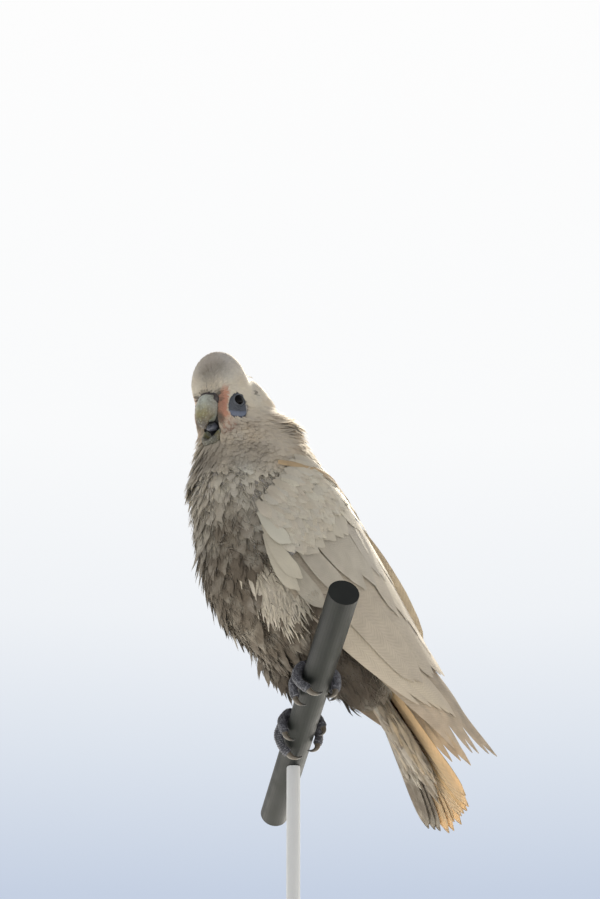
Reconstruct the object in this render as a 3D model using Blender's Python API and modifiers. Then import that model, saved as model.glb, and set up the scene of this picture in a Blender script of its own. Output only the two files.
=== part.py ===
"""A little corella, life size, standing on a cut length of cable on a plain display stand.

Metres, +Z up. The bird faces -Y and its left side is +X. The origin is the middle of the base's
underside, and the middle of the cable is straight above it.

The bird's own places are given as (side, ahead, up) in metres from the middle of the cable:
side is to the bird's left, ahead is the way that it faces. The head has its own axes, turned to
the left and nodding down a little.
"""

import math

import bmesh
import bpy
import numpy as np
from mathutils import Matrix, Vector
from mathutils.bvhtree import BVHTree

# --- driving dimensions -------------------------------------------------------------------------
GAP = 0.0004            # clearance between neighbouring pieces
BASE_RADIUS = 0.100
BASE_THICKNESS = 0.012
BASE_CHAMFER = 0.0015
ROD_RADIUS = 0.0045
ROD_SIDE = -0.046       # where the rod meets the cable: beyond the bird's right foot

PERCH_HEIGHT = 0.220    # middle of the cable above the floor
PERCH_RADIUS = 0.0095
PERCH_LENGTH = 0.240
PERCH_SLOPE = math.radians(26.0)
PERCH_TURN = math.radians(10.0)

FOOT_PLACES = {"left": 0.030, "right": -0.021}   # along the cable from its middle
BIRD_AHEAD = 0.004      # the body stands this far ahead of the cable's middle
TOE_RADIUS = 0.0033
TARSUS_LENGTH = 0.020
TARSUS_RADIUS = 0.0036

HEAD_CENTRE = (0.0049, 0.0597, 0.2011)  # midway between the eyes
HEAD_TURN = math.radians(33.0)
HEAD_NOD = math.radians(12.0)
EYE_PLACE = (0.0134, 0.0002, 0.0)       # middle of the left eyeball on the head
EYE_RADIUS = 0.0046

# Lobes of the head: the place of the middle and the three halves, (side, ahead, up) on the head.
# A lobe whose side isn't 0 is there twice.
HEAD_LOBES = (
    ((0.0, -0.0015, 0.0125), (0.0186, 0.0185, 0.0236)),
    ((0.0, -0.0075, 0.0040), (0.0180, 0.0175, 0.0230)),
    ((0.0, -0.0225, -0.0030), (0.0205, 0.0195, 0.0235)),
    ((0.0072, 0.0040, -0.0080), (0.0085, 0.0115, 0.0150)),
    ((0.0080, -0.0100, -0.0230), (0.0115, 0.0170, 0.0130)),
)

# Stations up the trunk and neck: (ahead, up) of the middle, then how far the body reaches from it
# to the front and to the back, across the spine, and its half width.
TRUNK_STATIONS = (
    (-0.050, 0.020, 0.019, 0.018, 0.019),
    (-0.033, 0.046, 0.037, 0.032, 0.033),
    (-0.015, 0.073, 0.058, 0.043, 0.042),
    (0.004, 0.102, 0.065, 0.047, 0.047),
    (0.019, 0.130, 0.057, 0.042, 0.046),
    (0.031, 0.156, 0.048, 0.036, 0.040),
    (0.040, 0.176, 0.034, 0.033, 0.028),
    (0.0425, 0.187, 0.021, 0.029, 0.0205),
    (0.0450, 0.197, 0.011, 0.017, 0.0140),
)

BODY_VOXEL = 0.0020     # cell of the grid in which the trunk, neck and head grow together
BODY_SHARE = 0.042      # share of its faces that are kept

# Stations along the folded wing, from its bend to its tip: the lower edge and the upper edge as
# (side, ahead, up), how far the outside bulges between them, and the greatest thickness.
WING_STATIONS = (
    ((0.0425, 0.0490, 0.1150), (0.0290, 0.0160, 0.1580), 0.0080, 0.0080),
    ((0.0480, 0.0350, 0.0860), (0.0140, -0.0180, 0.1480), 0.0165, 0.0110),
    ((0.0475, 0.0190, 0.0620), (0.0100, -0.0370, 0.1280), 0.0170, 0.0110),
    ((0.0415, -0.0140, 0.0370), (0.0080, -0.0610, 0.0920), 0.0130, 0.0085),
    ((0.0330, -0.0550, 0.0110), (0.0080, -0.0870, 0.0470), 0.0070, 0.0055),
    ((0.0275, -0.0800, -0.0050), (0.0110, -0.1040, 0.0210), 0.0040, 0.0040),
    ((0.0240, -0.0960, -0.0190), (0.0150, -0.1130, 0.0010), 0.0020, 0.0022),
)
# The long primaries that show beyond the wing: root and tip as (side, ahead, up), and half width.
WING_BLADES = (
    ((0.0270, -0.0780, -0.0060), (0.0215, -0.1165, -0.0455), 0.0055),
    ((0.0250, -0.0830, 0.0000), (0.0205, -0.1225, -0.0415), 0.0060),
    ((0.0220, -0.0900, 0.0060), (0.0195, -0.1235, -0.0300), 0.0065),
    ((0.0190, -0.0960, 0.0110), (0.0190, -0.1300, -0.0240), 0.0060),
)
BLADE_THICKNESS = 0.0016
WING_CLEARANCE = 0.0014         # from the body to the wing's inside, where they would touch
WING_LEAST_THICKNESS = 0.0012
# Planes that part the neck from the head and the trunk, and each wing in two: a point of the
# plane, and the way that it faces. NECK_TOP is on the head, the rest on the bird.
NECK_TOP = (0.0, -0.0120, -0.0260)
NECK_TOP_WAY = (0.10, 0.45, 0.88)
NECK_FOOT = (0.0, 0.0340, 0.1500)
NECK_FOOT_WAY = (0.0, 0.30, 0.95)
WING_PARTING = (0.0250, -0.0370, 0.0640)
WING_PARTING_WAY = (0.0, 0.80, 0.60)

TAIL_ROOT = (0.0, -0.049, 0.031)
TAIL_TIP = (0.0, -0.110, -0.069)
TAIL_ROLL = math.radians(13.0)          # the fan's left side is this much higher
TAIL_HALF_WIDTH = (0.011, 0.036)        # at the root and at the tips
TAIL_THICKNESS = (0.010, 0.0022)
TAIL_FEATHERS = 12
TAIL_ROUNDING = 0.10    # the outer feathers are this share shorter
TAIL_NOTCH = 0.10       # depth of the notches between the tips, as a share of the length

# Stations down the coverts under the tail: (ahead, up), half width and half depth.
UNDERTAIL_STATIONS = (
    (-0.034, 0.036, 0.0170, 0.0120),
    (-0.042, 0.016, 0.0190, 0.0120),
    (-0.051, -0.006, 0.0180, 0.0085),
    (-0.060, -0.026, 0.0140, 0.0050),
    (-0.068, -0.042, 0.0060, 0.0020),
)

# The two halves of the bill: points of the top line and of the underline in the head's middle
# plane as (ahead, up), and the half width there.
UPPER_BILL = (
    ((0.0040, 0.0065), (0.0040, -0.0100), 0.0070),
    ((0.0115, 0.0068), (0.0075, -0.0112), 0.0076),
    ((0.0172, 0.0050), (0.0104, -0.0120), 0.0077),
    ((0.0210, 0.0000), (0.0136, -0.0126), 0.0073),
    ((0.0231, -0.0060), (0.0164, -0.0132), 0.0064),
    ((0.0237, -0.0118), (0.0182, -0.0146), 0.0048),
    ((0.0227, -0.0168), (0.0186, -0.0175), 0.0030),
    ((0.0200, -0.0204), (0.0190, -0.0202), 0.0006),
)
LOWER_BILL = (
    ((0.0030, -0.0120), (0.0000, -0.0250), 0.0076),
    ((0.0085, -0.0134), (0.0055, -0.0285), 0.0081),
    ((0.0132, -0.0160), (0.0110, -0.0300), 0.0078),
    ((0.0166, -0.0190), (0.0155, -0.0290), 0.0063),
    ((0.0184, -0.0216), (0.0186, -0.0254), 0.0036),
)
TONGUE = ((0.0108, -0.0160), (0.0056, 0.0030, 0.0038))  # middle, half length, depth and width
CERE = ((0.0128, 0.0024), (0.0044, 0.0060, 0.0088))     # the same for the bare skin over the bill

COLOURS = {             # base colour, roughness
    "plumage": ((0.72, 0.69, 0.62, 1), 0.85),
    "wing_feather": ((0.80, 0.78, 0.71, 1), 0.75),
    "tail_feather": ((0.78, 0.70, 0.50, 1), 0.75),
    "bill_horn": ((0.62, 0.61, 0.53, 1), 0.45),
    "grey_skin": ((0.30, 0.34, 0.42, 1), 0.60),
    "foot_skin": ((0.07, 0.07, 0.08, 1), 0.60),
    "claw_horn": ((0.05, 0.05, 0.05, 1), 0.35),
    "eye": ((0.02, 0.015, 0.015, 1), 0.05),
    "cable": ((0.09, 0.10, 0.09, 1), 0.50),
    "stand": ((0.55, 0.56, 0.57, 1), 0.35),
}


# --- helpers ------------------------------------------------------------------------------------
def unit(vector):
    return np.asarray(vector, float) / np.linalg.norm(vector)


def bird(side, ahead, up):
    """A place on the bird, in world metres."""
    return np.array((side, -ahead - BIRD_AHEAD, PERCH_HEIGHT + up))


PERCH_AXIS = np.array((
    math.cos(PERCH_TURN) * math.cos(PERCH_SLOPE),
    -math.sin(PERCH_TURN) * math.cos(PERCH_SLOPE),
    math.sin(PERCH_SLOPE),
))
PERCH_FRONT = np.array((-math.sin(PERCH_TURN), -math.cos(PERCH_TURN), 0.0))
PERCH_TOP = np.cross(PERCH_FRONT, PERCH_AXIS)
PERCH_MIDDLE = np.array((0.0, 0.0, PERCH_HEIGHT))

HEAD_FORE = np.array((
    math.sin(HEAD_TURN) * math.cos(HEAD_NOD),
    -math.cos(HEAD_TURN) * math.cos(HEAD_NOD),
    -math.sin(HEAD_NOD),
))
HEAD_LEFT = np.array((math.cos(HEAD_TURN), math.sin(HEAD_TURN), 0.0))
HEAD_UP = np.cross(HEAD_FORE, HEAD_LEFT)


def on_head(side, ahead, up):
    """A place given in the head's own axes, in world metres."""
    return bird(*HEAD_CENTRE) + side * HEAD_LEFT + ahead * HEAD_FORE + up * HEAD_UP


def smooth_rows(rows, steps):
    """Catmull-Rom through the rows of a table, with this many steps between two of them."""
    rows = np.asarray(rows, float)
    ends = np.vstack((2 * rows[0] - rows[1], rows, 2 * rows[-1] - rows[-2]))
    out = []
    for i in range(len(rows) - 1):
        p0, p1, p2, p3 = ends[i:i + 4]
        for t in np.arange(steps) / steps:
            out.append(0.5 * (2 * p1 + (p2 - p0) * t + (2 * p0 - 5 * p1 + 4 * p2 - p3) * t**2
                              + (3 * p1 - p0 - 3 * p2 + p3) * t**3))
    return np.array(out + [rows[-1]])


def new_object(name, mesh, finish, smooth=True):
    """Links a mesh as a named object that wears one of COLOURS."""
    material = bpy.data.materials.get(finish) or bpy.data.materials.new(finish)
    material.use_nodes = True
    colour, roughness = COLOURS[finish]
    shader = material.node_tree.nodes["Principled BSDF"]
    shader.inputs["Base Color"].default_value = colour
    shader.inputs["Roughness"].default_value = roughness
    mesh.materials.clear()
    mesh.materials.append(material)
    if smooth:
        mesh.shade_smooth()
        mesh.set_sharp_from_angle(angle=math.radians(50))
    obj = bpy.data.objects.new(name, mesh)
    PARTS.objects.link(obj)
    make_cutter(obj)
    return obj


def make_cutter(obj):
    """Keeps the object's whole shape, grown by the clearance, to cut its neighbours with."""
    mesh = obj.data.copy()
    normals = np.array([v.normal for v in mesh.vertices])
    places = np.array([v.co for v in mesh.vertices]) + normals * GAP
    mesh.vertices.foreach_set("co", places.ravel())
    cutter = bpy.data.objects.new("cutter_" + obj.name, mesh)
    cutter.hide_render = True
    cutter.display_type = "WIRE"
    CUTTERS.objects.link(cutter)


def mesh_from(bm):
    bmesh.ops.recalc_face_normals(bm, faces=bm.faces)
    mesh = bpy.data.meshes.new("shape")
    bm.to_mesh(mesh)
    bm.free()
    return mesh


def loft(rings):
    """A closed mesh through rings of points, capped at both ends."""
    bm = bmesh.new()
    loops = [[bm.verts.new(Vector(p)) for p in ring] for ring in rings]
    count = len(loops[0])
    for a, b in zip(loops, loops[1:]):
        for i in range(count):
            bm.faces.new((a[i], a[(i + 1) % count], b[(i + 1) % count], b[i]))
    bm.faces.new(loops[0])
    bm.faces.new(loops[-1][::-1])
    return mesh_from(bm)


def ellipsoid(centre, axes, halves, segments=16, rings=10):
    """A sphere stretched along three axes."""
    bm = bmesh.new()
    bmesh.ops.create_uvsphere(bm, u_segments=segments, v_segments=rings, radius=1.0)
    turn = Matrix([list(np.asarray(a) * h) for a, h in zip(axes, halves)]).transposed()
    bmesh.ops.transform(bm, matrix=Matrix.Translation(Vector(centre)) @ turn.to_4x4(), verts=bm.verts)
    return mesh_from(bm)


def rod(name, start, end, radius, finish, sides=16):
    """A straight round bar between two points."""
    start, end = Vector(start), Vector(end)
    bm = bmesh.new()
    bmesh.ops.create_cone(bm, cap_ends=True, segments=sides, radius1=radius, radius2=radius,
                          depth=(end - start).length)
    turn = (end - start).to_track_quat("Z", "Y").to_matrix().to_4x4()
    bmesh.ops.transform(bm, matrix=Matrix.Translation((start + end) / 2) @ turn, verts=bm.verts)
    return new_object(name, mesh_from(bm), finish)


def tapered_tube(name, points, radii, finish):
    """A round tube along the points, each with its own radius: a curve with a bevel and caps."""
    curve = bpy.data.curves.new(name, "CURVE")
    curve.dimensions = "3D"
    curve.bevel_depth = 1.0
    curve.bevel_resolution = 1
    curve.use_fill_caps = True
    spline = curve.splines.new("POLY")
    spline.points.add(len(points) - 1)
    for knot, place, radius in zip(spline.points, points, radii):
        knot.co = (*place, 1.0)
        knot.radius = radius
    obj = bpy.data.objects.new(name, curve)
    bpy.context.scene.collection.objects.link(obj)
    mesh = bpy.data.meshes.new_from_object(obj.evaluated_get(bpy.context.evaluated_depsgraph_get()))
    bpy.data.objects.remove(obj)
    bm = bmesh.new()
    bm.from_mesh(mesh)
    bmesh.ops.remove_doubles(bm, verts=bm.verts, dist=1e-6)
    return new_object(name, mesh_from(bm), finish)


def apply_boolean(obj, other, operation):
    """Joins or cuts obj's mesh with another object, and keeps the result as its mesh."""
    modifier = obj.modifiers.new("cut", "BOOLEAN")
    modifier.object = other
    modifier.operation = operation
    modifier.solver = "EXACT"
    graph = bpy.context.evaluated_depsgraph_get()
    mesh = bpy.data.meshes.new_from_object(obj.evaluated_get(graph))
    obj.modifiers.clear()
    obj.data = mesh


def cut_away(obj, *others):
    """Cuts room for the named pieces out of obj, and drops any crumb that this leaves."""
    for other in others:
        apply_boolean(obj, bpy.data.objects["cutter_" + other], "DIFFERENCE")
    keep_main_body(obj)


def keep_main_body(obj):
    """Keeps the separate body of a mesh that has the most surface."""
    bm = bmesh.new()
    bm.from_mesh(obj.data)
    unseen = set(bm.faces)
    bodies = []
    while unseen:
        queue = [unseen.pop()]
        body = list(queue)
        while queue:
            for edge in queue.pop().edges:
                fresh = [face for face in edge.link_faces if face in unseen]
                unseen.difference_update(fresh)
                queue.extend(fresh)
                body.extend(fresh)
        bodies.append(body)
    bodies.sort(key=lambda faces: sum(face.calc_area() for face in faces))
    crumbs = [face for faces in bodies[:-1] for face in faces]
    bmesh.ops.delete(bm, geom=crumbs, context="FACES")
    bm.to_mesh(obj.data)
    bm.free()


def joined(obj, *others):
    """Makes one body of obj and the others, which are removed."""
    for other in others:
        apply_boolean(obj, other, "UNION")
        bpy.data.objects.remove(other)


def side_of(obj, name, point, normal, finish):
    """A new object: the part of obj on the normal's side of a plane, capped there."""
    bm = bmesh.new()
    bm.from_mesh(obj.data)
    normal = Vector(normal).normalized()
    bmesh.ops.bisect_plane(bm, geom=bm.verts[:] + bm.edges[:] + bm.faces[:], dist=1e-7,
                           plane_co=Vector(point) + normal * GAP / 2, plane_no=normal,
                           clear_inner=True)
    rim = [e for e in bm.edges if e.is_boundary]
    bmesh.ops.triangle_fill(bm, edges=rim, use_beauty=True)
    return new_object(name, mesh_from(bm), finish)


def part_in_two(obj, names, point, normal, finish):
    """Replaces obj by its two sides of a plane, with a thin gap between them."""
    above = side_of(obj, names[0], point, normal, finish)
    below = side_of(obj, names[1], point, -np.asarray(normal), finish)
    bpy.data.objects.remove(obj)
    return above, below


# --- the stand and the cable --------------------------------------------------------------------
def make_stand():
    """A chamfered disc, and a rod whose top is hollowed to fit the cable."""
    bm = bmesh.new()
    bmesh.ops.create_cone(bm, cap_ends=True, segments=44, radius1=BASE_RADIUS, radius2=BASE_RADIUS,
                          depth=BASE_THICKNESS)
    bmesh.ops.translate(bm, verts=bm.verts, vec=(0, 0, BASE_THICKNESS / 2))
    rim = [e for e in bm.edges if all(v.co.z > BASE_THICKNESS - 1e-6 for v in e.verts)]
    bmesh.ops.bevel(bm, geom=rim, offset=BASE_CHAMFER, segments=1, affect="EDGES")
    new_object("stand_base", mesh_from(bm), "stand")
    top = PERCH_MIDDLE + PERCH_AXIS * ROD_SIDE
    foot = np.array((top[0], top[1], BASE_THICKNESS + GAP))
    pole = rod("stand_rod", foot, top, ROD_RADIUS, "stand")
    cut_away(pole, "perch_cable")


def make_perch():
    """The cut length of cable, square at both ends."""
    reach = PERCH_AXIS * PERCH_LENGTH / 2
    rod("perch_cable", PERCH_MIDDLE - reach, PERCH_MIDDLE + reach, PERCH_RADIUS, "cable", sides=32)


# --- the feet -----------------------------------------------------------------------------------
# Each toe: name, side of the foot's middle along the cable at root and tip, where it starts and
# ends round the cable (degrees from its top, + to the front), and the length of its claw.
TOES = (
    ("toe_2", -0.0038, -0.0066, 34, 112, 0.0115),
    ("toe_3", 0.0038, 0.0094, 34, 142, 0.0125),
    ("toe_1", -0.0038, -0.0066, -34, -88, 0.0105),
    ("toe_4", 0.0038, 0.0040, -34, -116, 0.0120),
)
TOE_STEPS = 8
CLAW_STEPS = 6
CLAW_BEND = math.radians(135)
CLAW_LIFT = math.radians(36)


def round_cable(along, angle, height):
    """A place beside the cable: along it, at an angle from its top, at a height over its skin."""
    out = PERCH_TOP * math.cos(angle) + PERCH_FRONT * math.sin(angle)
    return PERCH_MIDDLE + PERCH_AXIS * along + out * (PERCH_RADIUS + height)


def make_toe(side_name, mirror, foot_along, toe):
    """One toe that hugs the cable, with swollen pads, and its hooked claw."""
    name, root_side, tip_side, start, end, claw_length = toe
    start, end = math.radians(start), math.radians(end)
    middle_height = TOE_RADIUS + GAP
    places, radii = [], []
    for i in range(TOE_STEPS):
        t = i / (TOE_STEPS - 1)
        along = foot_along + mirror * (root_side + (tip_side - root_side) * t)
        pad = 1.0 - 0.12 * (0.5 - 0.5 * math.cos(4 * math.pi * t)) - 0.14 * t
        places.append(round_cable(along, start + (end - start) * t, middle_height))
        radii.append(TOE_RADIUS * pad)
    tapered_tube(f"{name}_{side_name}", places, radii, "foot_skin")

    way = math.copysign(1.0, end)
    out = PERCH_TOP * math.cos(end) + PERCH_FRONT * math.sin(end)
    tangent = way * (PERCH_FRONT * math.cos(end) - PERCH_TOP * math.sin(end))
    place = places[-1] + tangent * (GAP + 0.0003)
    step = claw_length / (CLAW_STEPS - 1)
    claw, claw_radii = [place], [TOE_RADIUS * 0.62]
    for i in range(1, CLAW_STEPS):
        t = i / (CLAW_STEPS - 1)
        turn = (CLAW_LIFT - CLAW_BEND * (t - 0.5 / (CLAW_STEPS - 1))) * min(i - 1, 1)
        place = place + step * (tangent * math.cos(turn) + out * math.sin(turn))
        claw.append(place)
        claw_radii.append(TOE_RADIUS * (0.62 * (1 - t) ** 0.8 + 0.09))
    tapered_tube(f"claw_{name[-1]}_{side_name}", claw, claw_radii, "claw_horn")


def make_foot(side_name, mirror):
    """Palm, tarsus, four toes and four claws: two toes in front of the cable and two behind."""
    along = FOOT_PLACES[side_name]
    places = [round_cable(along, math.radians(a), TOE_RADIUS + GAP) for a in (-26, -9, 9, 26)]
    rings = []
    for place, half in zip(places, (0.0058, 0.0072, 0.0072, 0.0060)):
        out = unit(place - PERCH_MIDDLE - PERCH_AXIS * along)
        angles = np.arange(12) * math.tau / 12
        rings.append([place + PERCH_AXIS * half * math.cos(a) + out * TOE_RADIUS * math.sin(a)
                      for a in angles])
    new_object(f"foot_{side_name}", loft(rings), "foot_skin")
    ankle = round_cable(along, 0.0, 2 * TOE_RADIUS + 3 * GAP)
    lean = unit(np.array((0.0, 0.45, 0.9)))
    steps = (0.0, 0.3, 0.7, 1.0)
    tapered_tube(f"tarsus_{side_name}", [ankle + lean * TARSUS_LENGTH * t for t in steps],
                 [TARSUS_RADIUS * r for r in (1.25, 1.0, 1.0, 1.15)], "foot_skin")
    cut_away(bpy.data.objects[f"tarsus_{side_name}"], f"foot_{side_name}")
    for toe in TOES:
        make_toe(side_name, mirror, along, toe)


# --- the bird's body ----------------------------------------------------------------------------
def trunk_rings(sides=22, steps=2):
    """Egg-shaped rings across the spine, from the tail's root to inside the head."""
    rows = smooth_rows(TRUNK_STATIONS, steps)
    spine = rows[:, :2]
    forward = np.gradient(spine, axis=0)
    forward /= np.linalg.norm(forward, axis=1)[:, None]
    rings = []
    for (ahead, up, front, back, half_width), way in zip(rows, forward):
        ring = []
        for angle in np.arange(sides) * math.tau / sides:
            reach = front if math.cos(angle) > 0 else back
            out = reach * math.cos(angle)
            ring.append(bird(half_width * math.sin(angle), ahead + out * way[1], up - out * way[0]))
        rings.append(ring)
    return rings


def make_body():
    """Trunk, neck and head grown together into one shape, which make_bird divides."""
    bm = bmesh.new()
    bm.from_mesh(loft(trunk_rings()))
    axes = (HEAD_LEFT, HEAD_FORE, HEAD_UP)
    for (side, ahead, up), halves in HEAD_LOBES:
        for way in (1, -1) if side else (1,):
            bm.from_mesh(ellipsoid(on_head(way * side, ahead, up), axes, halves, 28, 18))
    lumps = bpy.data.objects.new("lumps", mesh_from(bm))
    CUTTERS.objects.link(lumps)
    remesh = lumps.modifiers.new("remesh", "REMESH")
    remesh.mode = "VOXEL"
    remesh.voxel_size = BODY_VOXEL
    soften = lumps.modifiers.new("soften", "SMOOTH")
    soften.iterations = 8
    thin_out = lumps.modifiers.new("thin_out", "DECIMATE")
    thin_out.ratio = BODY_SHARE
    graph = bpy.context.evaluated_depsgraph_get()
    mesh = bpy.data.meshes.new_from_object(lumps.evaluated_get(graph))
    bpy.data.objects.remove(lumps)
    return new_object("body", mesh, "plumage")


def make_thigh(side_name, mirror):
    """The feathered thigh: a lobe that narrows down to the tarsus."""
    foot = round_cable(FOOT_PLACES[side_name], 0.0, 2 * TOE_RADIUS)
    knee = bird(mirror * 0.033, 0.010, 0.066)
    ankle = foot + np.array((0.0, 0.004, 0.011))
    rings = []
    for t, half in ((0.0, 0.0085), (0.25, 0.0135), (0.5, 0.0185), (0.75, 0.0200), (1.0, 0.015)):
        place = ankle + (knee - ankle) * t
        angles = np.arange(16) * math.tau / 16
        rings.append([place + half * np.array((0.85 * math.cos(a), math.sin(a), 0.0))
                      for a in angles])
    return new_object(f"thigh_{side_name}", loft(rings), "plumage")


def make_wing(side_name, mirror, body):
    """The folded wing: a bowed blade that lies on the body, with long primaries beyond it."""
    skin = BVHTree.FromObject(body, bpy.context.evaluated_depsgraph_get())
    table = [(*low, *high, bulge, thick) for low, high, bulge, thick in WING_STATIONS]
    across = np.linspace(0.0, 1.0, 7)
    rings = []
    for row in smooth_rows(table, 2):
        low, high = bird(*row[:3]), bird(*row[3:6])
        chord = unit(high - low)
        outward = np.array((1.0, 0.35, 0.30))
        outward = unit(outward - chord * outward.dot(chord))
        bow = row[6] * 4 * across * (1 - across)
        depth = 0.0009 + row[7] * (4 * across * (1 - across)) ** 0.6
        line = low + np.outer(across, high - low) + np.outer(bow, outward)
        outer, inner = [], []
        for place, thick in zip(line, depth):
            start = place + outward * 0.05
            hit = skin.ray_cast(Vector(start), Vector(-outward), 0.10)[0]
            bottom = -thick
            if hit is not None:
                bottom = max(bottom, (np.array(hit) - place).dot(outward) + WING_CLEARANCE)
            outer.append(place + outward * max(0.0, bottom + WING_LEAST_THICKNESS))
            inner.append(place + outward * bottom)
        rings.append(np.vstack((outer, inner[::-1])) * (mirror, 1, 1))
    wing = new_object(f"wing_{side_name}", loft(rings), "wing_feather")
    for number, (root, tip, half) in enumerate(WING_BLADES):
        blade = loft(blade_rings(bird(*root) * (mirror, 1, 1), bird(*tip) * (mirror, 1, 1), half))
        joined(wing, new_object(f"blade_{number}_{side_name}", blade, "wing_feather"))
    return wing


def blade_rings(root, tip, half):
    """Rings of one long feather: flat, nearly as wide all along, then drawn in to its tip."""
    along = unit(tip - root)
    over = unit(np.array((math.copysign(1.0, root[0]), -0.35, 0.30)))
    over = unit(over - along * over.dot(along))
    across = np.cross(along, over)
    rings = []
    for t, wide, shift in ((0, 0.8, 0), (0.5, 1.0, 0), (0.8, 0.75, 0.1), (0.94, 0.4, 0.3), (1, 0.1, 0.4)):
        middle = root + (tip - root) * t + across * half * shift
        ring = []
        for angle in np.arange(6) * math.tau / 6:
            ring.append(middle + across * half * wide * math.cos(angle)
                        + over * BLADE_THICKNESS / 2 * math.sin(angle) / math.sin(math.tau / 6))
        rings.append(ring)
    return rings


def make_tail():
    """A half open fan of twelve feathers, thick at its root, with a notch between the tips."""
    root, tip = bird(*TAIL_ROOT), bird(*TAIL_TIP)
    along = tip - root
    across = np.array((math.cos(TAIL_ROLL), 0.0, math.sin(TAIL_ROLL)))
    over = unit(np.cross(across, along))
    q = np.linspace(-1, 1, 2 * TAIL_FEATHERS + 1)
    between = np.arange(len(q)) % 2 == 0
    rings = []
    for t in (0.0, 0.3, 0.6, 0.85, 1.0):
        half = TAIL_HALF_WIDTH[0] + (TAIL_HALF_WIDTH[1] - TAIL_HALF_WIDTH[0]) * t ** 0.8
        thick = TAIL_THICKNESS[0] + (TAIL_THICKNESS[1] - TAIL_THICKNESS[0]) * t ** 0.6
        shorter = TAIL_ROUNDING * q**2 + np.where(between, TAIL_NOTCH, 0.0)
        length = t * (1 - shorter * t**4)
        arch = 0.004 * (1 - q**2) * (1 - 0.5 * t)
        lens = np.sqrt(1.0 - 0.80 * q**2)
        middle = root + np.outer(length, along) + np.outer(q * half, across) + np.outer(arch, over)
        top = middle + np.outer(thick / 2 * lens, over)
        below = middle - np.outer(thick / 2 * lens, over)
        rings.append(np.vstack((top, below[::-1])))
    return new_object("tail", loft(rings), "tail_feather")


def make_undertail():
    """The soft coverts below the root of the tail, ending in a point."""
    rows = smooth_rows(UNDERTAIL_STATIONS, 2)
    way = np.gradient(rows[:, :2], axis=0)
    way /= np.linalg.norm(way, axis=1)[:, None]
    rings = []
    for (ahead, up, half_width, half_depth), (fore, rise) in zip(rows, way):
        angles = np.arange(12) * math.tau / 12
        rings.append([bird(half_width * math.cos(a), ahead - half_depth * math.sin(a) * rise,
                           up + half_depth * math.sin(a) * fore) for a in angles])
    return new_object("undertail", loft(rings), "plumage")


def make_crest():
    """The short crest, folded back along the crown."""
    rings = []
    for ahead, up, half, depth in (
        (0.0045, 0.0325, 0.0070, 0.0012),
        (-0.0035, 0.0337, 0.0085, 0.0018),
        (-0.0120, 0.0316, 0.0080, 0.0020),
        (-0.0195, 0.0264, 0.0060, 0.0018),
        (-0.0265, 0.0214, 0.0028, 0.0010),
    ):
        angles = np.arange(12) * math.tau / 12
        rings.append([on_head(half * math.cos(a), ahead, up + depth * math.sin(a)) for a in angles])
    return new_object("crest", loft(rings), "plumage")


# --- the face -----------------------------------------------------------------------------------
def bill_loft(rows, sides=12):
    """A horn between a top line and an underline in the head's middle plane."""
    table = smooth_rows([(*top, *under, half) for top, under, half in rows], 2)
    rings = []
    for top_ahead, top_up, under_ahead, under_up, half_width in table:
        ring = []
        for angle in np.arange(sides) * math.tau / sides:
            share = 0.5 + 0.5 * math.sin(angle)
            ahead = under_ahead + (top_ahead - under_ahead) * share
            up = under_up + (top_up - under_up) * share
            ring.append(on_head(half_width * math.cos(angle), ahead, up))
        rings.append(ring)
    return loft(rings)


def make_bill():
    """Both halves of the bill, the tongue between them and the bare skin over the bill."""
    axes = (HEAD_LEFT, HEAD_FORE, HEAD_UP)
    upper = new_object("bill_upper", bill_loft(UPPER_BILL), "bill_horn")
    lower = new_object("bill_lower", bill_loft(LOWER_BILL), "bill_horn")
    (ahead, up), (length, depth, width) = TONGUE
    shape = ellipsoid(on_head(0, ahead, up), axes, (width, length, depth), 12, 8)
    tongue = new_object("tongue", shape, "grey_skin")
    (ahead, up), (length, depth, width) = CERE
    shape = ellipsoid(on_head(0, ahead, up), axes, (width, length, depth), 16, 10)
    cere = new_object("cere", shape, "grey_skin")
    cut_away(lower, "bill_upper", "body")
    cut_away(tongue, "bill_upper", "bill_lower", "body")
    cut_away(cere, "bill_upper", "body")
    cut_away(upper, "body")


def make_eye(side_name, mirror):
    """The eyeball, and the drop-shaped bare skin round it, wider below the eye."""
    axes = (HEAD_LEFT, HEAD_FORE, HEAD_UP)
    eye_side, eye_ahead, eye_up = EYE_PLACE
    shape = ellipsoid(on_head(mirror * eye_side, eye_ahead, eye_up), axes, (EYE_RADIUS,) * 3, 12, 8)
    ball = new_object(f"eye_{side_name}", shape, "eye")
    rings = []
    for side, grow in ((0.0110, 0.90), (0.0158, 1.0), (0.0165, 0.80)):
        ring = []
        for angle in np.arange(12) * math.tau / 12:
            drop = 1.0 - 0.25 * math.sin(angle)
            ahead = 0.0037 + 0.0068 * grow * drop * math.cos(angle)
            up = 0.0086 * grow * math.sin(angle) - 0.0035
            ring.append(on_head(mirror * (side - 0.30 * (ahead - 0.0037)), ahead, up))
        rings.append(ring)
    skin = new_object(f"eye_skin_{side_name}", loft(rings), "grey_skin")
    cut_away(skin, ball.name)
    cut_away(bpy.data.objects["body"], ball.name, skin.name)


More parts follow.
